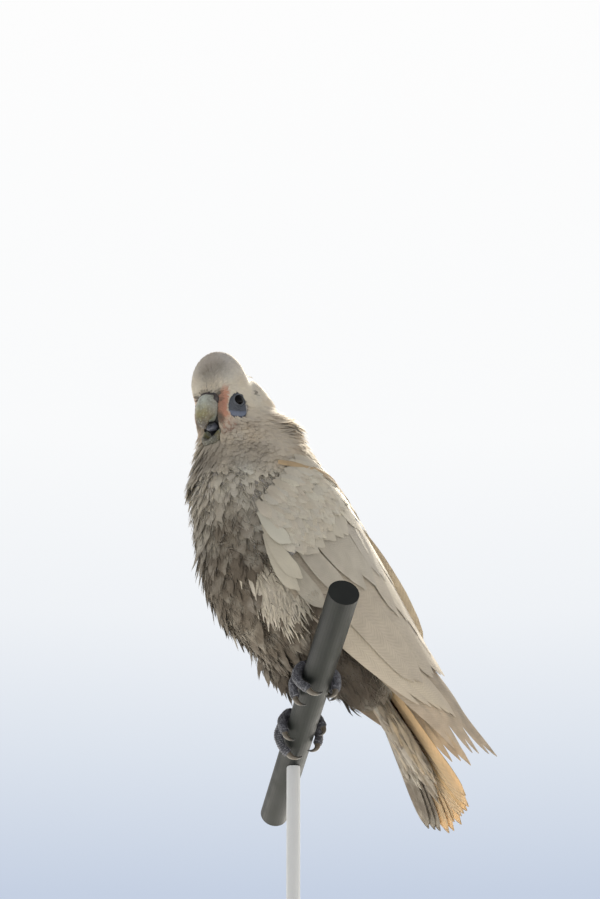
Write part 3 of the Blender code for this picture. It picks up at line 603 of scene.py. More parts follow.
def feather_material(name, looks, see_through, rough):
    """Feather, grown vane of keratin barbs: matt, faintly silky, and light glows through its thin
    edges. The barbs run slantwise from the shaft every 1 to 5 mm, drawn coarser than real ones
    (0.2 mm) so that they show, in bump and in faint lines of painted shade. Towards its root each
    feather darkens to the gap brown by its deep value: painted shade where the feathers overlap."""
    made = new_material(name)
    _, tree, shader = made
    along, across = value_of(tree, "along"), value_of(tree, "across")
    colour = mixed(tree, value_of(tree, "tint"), looks.clean, looks.shaded)
    colour = mixed(tree, value_of(tree, "warm"), colour, looks.yellow)
    # Feathers darken to the stain brown by this value: real soiling, and partly painted shade, as it grows
    # down the body and is set higher on the lower wing rows and the far tail feathers
    patchy = maths(tree, "MULTIPLY_ADD", speckle(tree, 9.0), 1.1, 0.40)
    soil = node(tree, "ShaderNodeMath", {0: value_of(tree, "soil"), 1: patchy}, operation="MULTIPLY",
                use_clamp=True).outputs[0]
    colour = mixed(tree, soil, colour, looks.brown_stain_and_shade)
    colour = mixed(tree, value_of(tree, "dark"), colour, looks.vent)
    colour = mixed(tree, value_of(tree, "blush"), colour, looks.lores)
    slant = maths(tree, "MULTIPLY_ADD", maths(tree, "ABSOLUTE", across), 9.0,
                  maths(tree, "MULTIPLY", along, value_of(tree, "barbs")))
    streak = maths(tree, "MULTIPLY_ADD", maths(tree, "SINE", slant), 0.5, 0.5)
    # faint lines of painted shade along the barbs, in the gap brown
    colour = mixed(tree, maths(tree, "MULTIPLY", streak, 0.08), colour, looks.gap)
    # painted shade: each feather darker towards its root, by its deep value, where the next ones overlap it
    root_shade = between(tree, along, 0.75, 0.15)
    colour = mixed(tree, maths(tree, "MULTIPLY", root_shade, value_of(tree, "deep")), colour, looks.gap)
    material = finished(made, colour, (streak, 0.35, 0.0002), Roughness=rough, Specular_IOR_Level=0.25,
                        Sheen_Weight=0.15, Sheen_Roughness=0.5)
    through = node(tree, "ShaderNodeBsdfTranslucent", {"Color": colour}).outputs[0]
    both = node(tree, "ShaderNodeMixShader", {0: see_through, 1: shader.outputs[0], 2: through}).outputs[0]
    tree.links.new(both, tree.nodes["Material Output"].inputs["Surface"])
    return material


# --- how feathers lie ---------------------------------------------------------------------------
BILL_POINT = (0.014, -0.002)    # ahead and up on the head: its feathers point away from here
SPINE = smooth_rows(TRUNK_STATIONS, 12)
SPINE_WAY = unit(np.gradient(SPINE[:, :2], axis=0))


def lie(places, out):
    """The way feathers point: away from the bill on the head, down the spine below it, flat on the
    body."""
    up = places[..., 2] - PERCH_HEIGHT
    wa = np.interp(up, SPINE[:, 1], SPINE_WAY[:, 0])
    wu = np.interp(up, SPINE[:, 1], SPINE_WAY[:, 1])
    down = np.stack((np.zeros_like(up), wa, -wu), -1)
    away = unit(places - on_head(0.0, *BILL_POINT))
    share = ramp(up, 0.135, 0.190)[..., None]
    way = away * share + down * (1 - 0.60 * share)
    return unit(way - out * (way * out).sum(-1, keepdims=True))


def laid_lines(roots, length, height, turn, steps=6):
    """Middle lines (N, steps, 3) that start at roots and follow the body with the lie, each turned
    aside by its own angle, at a height over the surface that changes along it."""
    places, line, outs = roots, [], []
    turn = np.asarray(turn)[:, None]
    for _ in range(steps):
        places = BODY.settle(places, 0.0, 2)
        _, out = BODY.ask(places)
        way = lie(places, out)
        way = way * np.cos(turn) + np.cross(out, way) * np.sin(turn)
        line.append(places)
        outs.append(out)
        places = places + way * (np.asarray(length) / (steps - 1))[:, None]
    line, outs = np.stack(line, 1), np.stack(outs, 1)
    return line + outs * height[..., None], outs


def contour(t):
    """Width of a small feather down its length: quickly wide, widest at six tenths, then rounded."""
    return np.interp(t, (0, 0.2, 0.45, 0.7, 0.88, 1.0), (0.35, 0.75, 1.0, 0.98, 0.74, 0.34))


def ragged(rng, count, across, rounding, depth):
    """How far down the feather each column of points reaches: rounded, with uneven notches."""
    u = np.asarray(across)
    notch = np.where(np.arange(len(u)) % 2 == 1, 1.0, 0.25)
    return 1 - rounding * u**2 - depth * notch * rng.uniform(0.1, 1.0, (count, len(u)))


def trunk_sites(spacing, seed):
    """Feather roots in staggered rings down the trunk and neck, and where each is on the skin
    unwrapped round the spine."""
    rng = np.random.default_rng(seed)
    steps = np.r_[0, np.cumsum(np.linalg.norm(np.diff(SPINE[:, :2], axis=0), axis=1))]
    rings = np.arange(-0.004, steps[-1], spacing * 0.84)
    tables = np.stack([np.interp(rings, steps, SPINE[:, k]) for k in range(5)], 1)
    ways = np.stack([np.interp(rings, steps, SPINE_WAY[:, k]) for k in range(2)], 1)
    tables[:, :2] += ways * np.minimum(rings, 0)[:, None]
    girth = math.tau * np.sqrt((tables[:, 4]**2 + ((tables[:, 2] + tables[:, 3]) / 2)**2) / 2)
    counts = np.maximum((girth / spacing).astype(int), 6)
    row = np.repeat(np.arange(len(rings)), counts)
    place = np.arange(counts.sum()) - np.repeat(np.cumsum(counts) - counts, counts)
    angle = (place + 0.5 * (row % 2) + rng.uniform(-0.22, 0.22, len(row))) / counts[row] * math.tau
    slide = rng.uniform(-0.25, 0.25, len(row)) * spacing
    ahead, up, front, back, half = tables[row].T
    over = np.where(np.cos(angle) > 0, front, back) * np.cos(angle)
    ahead = ahead + over * ways[row, 1] + slide * ways[row, 0]
    up = up - over * ways[row, 0] + slide * ways[row, 1]
    sites = BODY.settle(bird(half * np.sin(angle), ahead, up), 0.0, 4)
    patch = np.stack((0.02 + 0.96 * (angle / math.tau % 1), 0.02 + 0.96 * row / len(rings)), 1)
    return sites, patch


def wing_cover(places):
    """How far under a folded wing places are: the nearest point of the sheet as along, across and
    distance."""
    flipped = places * np.where(places[:, :1] < 0, (-1.0, 1.0, 1.0), (1.0, 1.0, 1.0))
    nodes = WING[::2, ::2].reshape(-1, 3)
    near = np.concatenate([np.argmin(((part[:, None] - nodes[None])**2).sum(-1), 1)
                           for part in np.array_split(flipped, len(flipped) // 2000 + 1)])
    along, across = np.divmod(near, 13)
    return along / 5.0, across / 12.0, np.linalg.norm(flipped - nodes[near], axis=1)


def under_wing(places):
    """Whether a folded wing hides places, so that no feather is needed, and whether they lie close
    beside one, where feathers stay low."""
    along, across, away = wing_cover(places)
    hidden = (away < 0.012) & (along > 0.45) & (along < 4.4) & (across > 0.12) & (across < 0.93)
    return hidden, (away < 0.014) & (along > 0.3)


def over_neck(places):
    """How far places lie above the collar where the head's soft feathers end over the breast's: a
    plane that falls towards the back and to the left, and is level again 16 mm further back."""
    rel = places - on_head(*NECK_PLACE)
    slope = rel[:, 0] * NECK_WAY[0] + np.minimum(rel[:, 1], 0.016) * NECK_WAY[1]
    return (rel[:, 2] * NECK_WAY[2] + slope) / 1.1


def bare_face(places):
    """1 where the head has no feathers: bare skin round the eye, bill, mouth and cere."""
    side, ahead, up = np.moveaxis(in_head(places), -1, 0)
    edge = np.where(towards_eye(ahead, up), 0.0004, -0.0008)
    bare = (np.abs(side) > 0.008) & (off_eye_patch(ahead, up) < edge)
    bill = (np.abs(side) < 0.0070) & (ahead > 0.008) & (up < 0.0050) & (up > -0.0250)
    return bare | bill


def towards_eye(ahead, up, length=0.0045):
    """Whether a feather rooted there, pointing away from the bill, would reach over the bare patch."""
    on, over = ahead - BILL_POINT[0], up - BILL_POINT[1]
    way = length / np.maximum(np.hypot(on, over), 1e-4)
    reached = [off_eye_patch(ahead + on * way * t, up + over * way * t) for t in (0.35, 0.7, 1.0)]
    facing = (ahead - LID_AHEAD) * on + up * over < 0
    return facing | (np.minimum.reduce(reached) < 0.0006)


def off_eye_patch(ahead, up):
    """How far a place on the head is outside the bare patch round the eye."""
    return np.hypot(ahead - LID_AHEAD, up) - eye_patch_reach(np.arctan2(up, ahead - LID_AHEAD))


def eye_patch_reach(angle):
    """Reach of the bare skin from the eye's middle at an angle from ahead towards up: narrow above,
    wide and flat below."""
    turns = np.radians((-180, -164, -144, -130, -114, -97, -80, -62, -48, -36, -23, -5, 19, 43, 71, 96,
                        130, 164, 180))
    reach = np.array((4.9, 5.5, 7.5, 9.1, 10.6, 11.5, 11.8, 13.1, 13.9, 12.7, 10.5, 8.3, 6.7, 5.9, 4.9,
                      4.3, 4.2, 4.6, 4.9)) / 1000
    return np.interp(angle, turns, reach)


def plumage_looks(places, rng):
    """Marks of the coat at each root: brown that grows down the breast and belly, soiling and partly
    painted shade; dark brown round the vent and legs; painted shade under the bill and along the
    feathers' edge at the bill's root; salmon lores and cheek, cream neck; each is between 0 and 1."""
    _, ahead, up = np.moveaxis(in_bird(places), -1, 0)
    h_side, h_ahead, h_up = np.moveaxis(in_head(places), -1, 0)
    count = len(places)
    patchy = 0.14 * ripple(places, 0.028, 5) + 0.12 * ripple(places, 0.011, 6)
    spine = np.interp(up, SPINE[:, 1], SPINE[:, 0])
    front = ramp(ahead - spine, -0.020, 0.030)
    # Brown that grows down the breast and belly and towards the front: soiling, and partly painted shade
    # where the body faces down; more is added on the chin under the bill and on the forehead
    grown = np.interp(up, (0.05, 0.085, 0.12, 0.15, 0.175), (1.18, 1.02, 0.58, 0.18, 0.05))
    soil = grown * (0.25 + 0.75 * front) + patchy * (0.25 + 0.5 * front)
    neck = over_neck(places)
    soil = soil * ramp(neck, 0.004, -0.002) + (0.10 * patchy + 0.06)
    soil = soil + 0.40 * ramp(np.hypot(h_ahead - 0.014, h_up + 0.032), 0.014, 0.004)
    forehead = ramp(np.hypot((h_side - 0.005) / 0.011, (h_up - 0.019) / 0.009), 1.3, 0.2)
    soil = soil + 0.42 * forehead * ramp(h_ahead, 0.005, 0.012)
    near_legs = ramp(np.hypot(up - 0.020, ahead + 0.010), 0.048, 0.014)
    dark = np.clip(near_legs * (0.75 + patchy), 0, 0.9)
    h_ahead = h_ahead - 0.0018
    middle = np.interp(h_up, (-0.0130, -0.0100, -0.0046, 0.0013, 0.0070),
                       (0.0122, 0.0122, 0.0126, 0.0112, 0.0110))
    lores = (ramp(np.abs(h_ahead - middle + 0.0005), 0.0018, 0.0007)
             * ramp(h_up, -0.0100, -0.0075) * ramp(h_up, 0.0095, 0.0040))
    streaky = 0.30 + 0.55 * (rng.random(count) < 0.45)
    cheek = ramp(np.hypot((h_ahead - 0.0105) / 0.0050, (h_up + 0.0130) / 0.0040), 1.35, 0.6) * streaky
    beside = ramp(np.abs(h_side), 0.0055, 0.0080) * np.where(h_side < 0, 0.35, 1.0)
    blush = np.clip((lores * 0.80 + cheek * 0.45) * beside, 0, 1)
    gape = (ramp(h_ahead - middle, -0.0001, 0.0009) * ramp(np.abs(h_side), 0.0040, 0.0065)
            * ramp(h_up, 0.0075, 0.0040))
    # painted shade: a dark band where the forehead's feathers end over the bill, darker on the far side, and
    # along the feathers' edge by the gape
    brow = ramp(np.hypot(h_side / 0.0085, (h_up + 0.0025) / 0.0085), 1.12, 1.00) * ramp(h_ahead, 0.008, 0.013)
    edge = np.maximum(brow * np.where(h_side < 0.004, 0.50, 0.40), gape * 0.85) * ramp(h_up, -0.018, -0.010)
    # painted shadow under the lower bill
    below = np.hypot(h_side / 1.3, np.hypot(h_ahead - 0.0170, h_up + 0.0305))
    under_bill = 0.42 * ramp(below, 0.0100, 0.0020)
    speck = 0.6 * ramp(np.hypot(h_ahead + 0.0108, h_up - 0.0067), 0.0022, 0.0010) * (h_side > 0)
    dark = np.maximum(np.maximum(dark, edge), np.maximum(under_bill, speck + cheek * 0.45))
    warm = np.clip(0.10 * ramp(neck, -0.002, 0.010) * ramp(h_up, 0.020, -0.015) + 0.08 + 0.3 * patchy, 0, 0.5)
    tint = np.clip(0.25 + 0.35 * ramp(h_up, 0.004, 0.026) + rng.normal(0, 0.08, count), 0, 1)
    return {"soil": np.clip(soil + rng.normal(0, 0.04, count), 0, 1), "dark": dark, "blush": blush,
            "warm": warm, "tint": tint}


# --- the coat -----------------------------------------------------------------------------------
FINE = (-1.0, -0.72, -0.38, 0.0, 0.38, 0.72, 1.0)
TINY = (-1.0, 0.0, 1.0)


def thigh_sites(spacing, seed):
    """Feather roots in rings down each thigh, from inside the belly to the ankle."""
    rng = np.random.default_rng(seed)
    sites = []
    for side_name in ("left", "right"):
        points, radii = thigh_line(side_name)
        t, turn = np.meshgrid(np.arange(0.10, 1.06, 0.085), np.arange(0, 1, spacing / 0.085))
        t, turn = t.ravel(), (turn + 0.05 * np.round(t / 0.085)).ravel()
        turn = (turn + rng.uniform(-0.02, 0.02, len(t))) * math.tau
        middle = points[0] + (points[-1] - points[0]) * t[:, None]
        radius = np.interp(t, np.linspace(0, 1, len(radii)), radii)[:, None]
        way = unit(points[-1] - points[0])
        place = middle + radius * around(way, (1.0, 0.0, 0.0), turn)
        distance, _ = BODY.ask(place)
        keep = distance > -0.0015
        sites.append(BODY.settle(place[keep], 0.0, 2))
    sites = np.concatenate(sites)
    patch = np.stack((sites[:, 0] * 5 + 0.5, sites[:, 1] * 5 + 0.5), 1) % 1
    return sites, patch


def body_feathers(spacing, seed):
    """Contour feathers of neck, trunk and thighs: laid from root to tip over the next ones down,
    ruffled in clumps, with torn, pointed ends."""
    rng = np.random.default_rng(seed)
    sites, patch = trunk_sites(spacing, seed)
    under, near = under_wing(sites)
    keep = (over_neck(sites) < 0.010) & ~under
    more, more_patch = thigh_sites(spacing, seed + 1)
    beside = near[keep]
    beside = np.concatenate((beside, np.zeros(len(more), bool)))
    sites, patch = np.concatenate((sites[keep], more)), np.concatenate((patch[keep], more_patch))
    _, ahead, up = np.moveaxis(in_bird(sites), -1, 0)
    front = ramp(ahead - np.interp(up, SPINE[:, 1], SPINE[:, 0]), -0.015, 0.025)
    length = np.interp(up, (0.0, 0.03, 0.08, 0.13, 0.165, 0.19), (0.014, 0.020, 0.023, 0.021, 0.0165, 0.013))
    length = length * rng.uniform(0.85, 1.15, len(sites))
    ruffle = 0.5 + 0.5 * ripple(sites, 0.022, seed + 2)
    low = ramp(up, 0.150, 0.090)
    lift = 0.0005 + 0.0003 * rng.random(len(sites)) + (0.0007 + 0.0015 * low) * ruffle * front
    lift = lift + (0.0030 + 0.0035 * low) * front * rng.random(len(sites))**4
    lift = np.where(beside, 0.2 * lift - 0.0006, lift) - 0.0007 * ramp(over_neck(sites), 0.002, 0.006)
    turn = rng.normal(0, 0.12, len(sites)) + 0.24 * ripple(sites, 0.022, seed + 3)
    t = np.linspace(0, 1, 6)
    height = -0.0036 + (0.0036 + lift[:, None]) * t**1.15
    line, outs = laid_lines(sites, length, height, turn)
    reach = ragged(rng, len(sites), FINE, 0.14, 0.30)
    shape = blades(line, outs, length * rng.uniform(0.17, 0.24, len(sites)), contour, reach, FINE, 0.00028,
                   cup=rng.uniform(0.02, 0.09, len(sites)), rows=7, even=0.45)
    # deep: painted shade at the feathers' roots, more on the low body
    return with_looks(shape, patch, barbs=60.0, deep=0.04 + 0.16 * low, **plumage_looks(sites, rng))


def wisps(count, seed):
    """Fine loose barbs between the feathers, mostly on belly, flanks and nape."""
    rng = np.random.default_rng(seed)
    sites, patch = trunk_sites(0.0042, seed)
    under, _ = under_wing(sites)
    keep = np.flatnonzero((over_neck(sites) < 0.004) & ~under)
    pick = rng.choice(keep, min(count, len(keep) * 4))
    sites, patch = sites[pick] + rng.normal(0, 0.0015, (len(pick), 3)), patch[pick]
    up = sites[:, 2] - PERCH_HEIGHT
    length = np.interp(up, (0.02, 0.08, 0.14, 0.19), (0.019, 0.019, 0.014, 0.009))
    length = length * rng.uniform(0.6, 1.2, len(sites))
    turn = rng.normal(0, 0.45, len(sites)) + 0.3 * ripple(sites, 0.018, 8)
    t = np.linspace(0, 1, 6)
    lift = rng.uniform(0.0004, 0.0042, len(sites))
    height = -0.002 + (0.002 + lift[:, None]) * t**1.3
    line, outs = laid_lines(sites, length, height, turn)
    shape = blades(line, outs, rng.uniform(0.0003, 0.0006, len(sites)), lambda t: 1.05 - t**1.5, 1.0,
                   (-1.0, 0.0, 1.0), 0.00025, rows=5)
    return with_looks(shape, patch, barbs=0.0, **plumage_looks(sites, rng))


def flank_tuft(seed):
    """The clean white down that spills from under the bend of each wing over the thigh."""
    rng = np.random.default_rng(seed)
    shapes = []
    for mirror in (1, -1):
        count = 380
        spread = rng.normal(0, 1, (count, 2)) * (0.0068, 0.0058)
        sites = bird(mirror * 0.0325, 0.0340 + spread[:, 0], 0.0780 + spread[:, 1])
        sites = BODY.settle(sites, 0.0, 4)
        length = rng.uniform(0.020, 0.032, count)
        t = np.linspace(0, 1, 6)
        lift = rng.uniform(0.0024, 0.0044, count)
        height = -0.001 + (0.001 + lift[:, None]) * t
        line, outs = laid_lines(sites, length, height, rng.normal(0, 0.18, count) - mirror * 0.10)
        shape = blades(line, outs, rng.uniform(0.0008, 0.0017, count), contour,
                       ragged(rng, count, FINE, 0.16, 0.10), FINE, 0.0003, cup=0.08, rows=6, even=0.65)
        patch = np.stack((0.5 + 0.4 * mirror + spread[:, 0] * 8, 0.5 + spread[:, 1] * 8), 1)
        # deep: painted shade at the roots of the tuft's feathers
        shapes.append(with_looks(shape, patch, barbs=60.0, soil=rng.uniform(0.02, 0.36, count), dark=0.0,
                                 blush=0.0, warm=0.12, deep=0.35, tint=rng.uniform(0.1, 0.4, count)))
    return shapes


def head_sites(spacing, seed):
    """Even places over head and neck: a golden-angle spiral on a half ball and, below it, down a
    tube round the neck, both settled on the surface."""
    rng = np.random.default_rng(seed)
    over = unit(np.array((0.0, -0.10, 0.95)))
    radius, depth = 0.034, 0.058
    area = math.tau * radius * (radius + depth)
    count = int(area / (0.866 * spacing**2))
    k = np.arange(count) + 0.5
    z = radius - (radius + depth) * k / count
    turn = k * math.pi * (3 - math.sqrt(5)) + rng.uniform(-0.02, 0.02, count)
    wide = np.sqrt(radius**2 - np.maximum(z, 0)**2)
    start = (on_head(0.0, -0.008, 0.004) + over * z[:, None]
             + wide[:, None] * around(over, (1.0, 0.0, 0.0), turn))
    sites = BODY.settle(start, 0.0, 6)
    patch = np.stack((0.02 + 0.96 * (turn / math.tau % 1), 0.02 + 0.96 * k / count), 1)
    return sites, patch


def head_feathers(spacing, seed):
    """The short, close feathers of crown, face and throat, smallest round the bill and eyes."""
    rng = np.random.default_rng(seed)
    sites, patch = head_sites(spacing, seed)
    neck = over_neck(sites)
    keep = (neck > 0.0) & ~bare_face(sites)
    sites, patch, neck = sites[keep], patch[keep], neck[keep]
    side, ahead, up = np.moveaxis(in_head(sites), -1, 0)
    face = ramp(ahead, -0.012, 0.010) * ramp(up, -0.030, -0.016)
    nape = ramp(ahead, -0.016, -0.030)
    crown = ramp(up, 0.008, 0.024)
    collar = ramp(neck, 0.016, 0.002)
    chin = ramp(np.hypot(ahead - 0.010, up + 0.034), 0.016, 0.006)
    beard = ramp(side, -0.001, -0.006) * ramp(ahead, -0.008, 0.002) * ramp(up, -0.008, -0.016)
    tuft = ramp(np.hypot(ahead - 0.011, up + 0.018), 0.009, 0.004) * ramp(side, 0.004, 0.008)
    hollow = ramp(ahead, -0.004, -0.016) * ramp(up, -0.006, -0.016) * ramp(up, -0.050, -0.036)
    length = 0.0100 - 0.0055 * face + 0.0030 * crown * (1 - face) + 0.003 * nape + 0.0030 * collar
    dip = ramp(ahead, -0.010, -0.020) * np.exp(-((up + 0.010) / 0.012)**2) * ramp(side, -0.010, 0.004)
    length = (length + 0.0050 * beard + 0.0030 * tuft + 0.0040 * dip) * rng.uniform(0.85, 1.15, len(sites))
    length = length * (1 - 0.45 * ramp(ahead, 0.008, 0.013) * ramp(up, 0.003, 0.007)
                       * ramp(np.abs(side), 0.009, 0.007))
    off_patch = np.where(np.abs(side) > 0.008, off_eye_patch(ahead, up), 1.0)
    length = np.where(towards_eye(ahead, up), np.clip(off_patch + 0.0006, 0.0008, length), length)
    root = -0.0012 + 0.0010 * ramp(off_patch, 0.0040, 0.0)[:, None]
    clump = 0.5 + 0.5 * ripple(sites, 0.009, seed + 4)
    loose = rng.random(len(sites))
    lift = (0.0003 + 0.0002 * rng.random(len(sites))
            + (0.0016 * nape * loose**3 + 0.0070 * dip * (0.5 + 0.5 * loose))
            + 0.0020 * hollow * (0.6 + 0.4 * loose))
    lift = lift + 0.0012 * chin * loose + 0.0036 * beard * loose + 0.0012 * tuft * loose
    lift = lift + collar * (0.0006 + 0.0005 * clump)
    turn = rng.normal(0, 0.04, len(sites)) + 0.14 * ripple(sites, 0.018, seed)
    t = np.linspace(0, 1, 5)
    height = root + (lift[:, None] - root) * t
    line, outs = laid_lines(sites, length, height, turn, 5)
    half = (0.0008 + 0.0012 * ramp(length, 0.005, 0.011)) * rng.uniform(0.8, 1.25, len(sites))
    shape = blades(line, outs, half, contour, 1.0, TINY, 0.0002, cup=0.06, rows=5,
                   even=0.62 - 0.27 * ramp(up, -0.012, -0.030))
    # deep: a little painted shade at the feathers' roots
    return with_looks(shape, patch, barbs=30.0, deep=0.04, **plumage_looks(sites, rng))


def crest_feathers(seed):
    """The short crest, folded back along the crown, its longest feathers ending in a low step."""
    rng = np.random.default_rng(seed)
    row, place = np.divmod(np.arange(28), 4)
    side = (place - 1.5) * (0.0032 - 0.0002 * row) + rng.normal(0, 0.0004, 28)
    ahead = 0.004 - 0.0030 * row
    sites = BODY.settle(on_head(side, ahead, 0.034 - 0.0003 * row**2), 0.0, 4)
    length = 0.013 + 0.0013 * row * (1 - 0.04 * row)
    t = np.linspace(0, 1, 6)
    lift = 0.0006 + 0.0020 * (row / 6) + rng.uniform(0, 0.0006, 28) + 0.0030 * (row > 4) * rng.random(28)**2
    height = -0.0012 + (0.0012 + lift[:, None]) * t**1.2
    line, outs = laid_lines(sites, length, height, rng.normal(0, 0.06, 28))
    shape = blades(line, outs, 0.0030 + rng.uniform(-0.0003, 0.0005, 28), contour,
                   ragged(rng, 28, FINE, 0.22, 0.12), FINE, 0.0003, cup=0.12, rows=9, even=0.5)
    patch = np.stack((0.5 + side * 8, 0.8 - row * 0.03), 1)
    looks = plumage_looks(sites, rng)
    return with_looks(shape, patch, barbs=80.0, **looks)


# --- the wings ----------------------------------------------------------------------------------
def vane(t):
    """Width of a flight feather down its length: soon wide, even, then rounded off at its end."""
    return np.interp(t, (0, 0.1, 0.4, 0.8, 0.9, 0.96, 1.0), (0.45, 0.75, 0.95, 1.0, 0.88, 0.66, 0.28))


def spoon(t):
    """Width of a covert down its length: narrow at its root and broadly rounded at its end."""
    return np.interp(t, (0, 0.3, 0.6, 0.8, 0.92, 1.0), (0.50, 0.80, 0.98, 1.0, 0.80, 0.34))


def pointed(t):
    """Width of a primary down its length: even, then drawn in to a narrow end."""
    return np.interp(t, (0, 0.1, 0.45, 0.66, 0.80, 0.90, 0.97, 1.0),
                     (0.6, 0.85, 1.0, 0.94, 0.72, 0.50, 0.30, 0.14))


MM = 0.001
BROAD = (-1.0, -0.80, -0.52, -0.24, -0.07, 0.0, 0.07, 0.24, 0.52, 0.80, 1.0)


def feather_row(count, root, tip, half, low, high, rng, shape=spoon, arch=0.0, rows=10, across=BROAD,
                rounding=0.45, depth=0.0006, cup=0.04, scatter=0.0, even=0.35, **looks):
    """A row of wing feathers: the first and last one's root and tip as (along, across) of the sheet,
    the others evenly between. half is half the width, low and high are the heights over the sheet
    at root and tip, all in millimetres, and arch is how far the middle line bows across."""
    share = np.linspace(0, 1, count)[:, None] if count > 1 else np.zeros((1, 1))
    root = np.array(root[0]) + (np.array(root[1]) - root[0]) * share
    tip = np.array(tip[0]) + (np.array(tip[1]) - tip[0]) * share + rng.normal(0, scatter, (count, 2))
    t = np.linspace(0, 1, 14)[None, :, None]
    grid = root[:, None] + (tip - root)[:, None] * t
    grid[..., 1] += arch * 4 * t[..., 0] * (1 - t[..., 0])
    places, out = on_wing(grid[..., 0], grid[..., 1])
    low, high, half = (np.interp(share[:, 0], (0, 1), np.broadcast_to(v, (2,)) * MM)[:, None]
                       for v in (low, high, half))
    half = half[:, 0]
    height = low + (high - low) * t[..., 0]
    length = np.linalg.norm(places[:, -1] - places[:, 0], axis=1)[:, None]
    ends = ragged(rng, count, across, rounding * half[:, None] / length, depth / length)
    made = blades(places + out * height[..., None], out, half, shape, ends, across, 0.00032, cup=cup,
                  shaft=0.00018, rows=rows, even=even)
    middle = grid[:, 3]
    patch = np.stack((0.03 + middle[:, 0] / 7.6, 0.06 + 0.88 * np.clip(middle[:, 1], 0, 1)), 1)
    # deep: painted shade at each feather's root, where the row above overlaps it
    values = {"tint": 0.15, "soil": 0.05, "dark": 0.0, "blush": 0.0, "warm": 0.08, "barbs": 300.0,
              "deep": 0.20}
    values.update(looks)
    values["tint"] = np.clip(np.broadcast_to(values["tint"], (count,)) + rng.normal(0, 0.06, count), 0, 1)
    return with_looks(made, patch, **values)


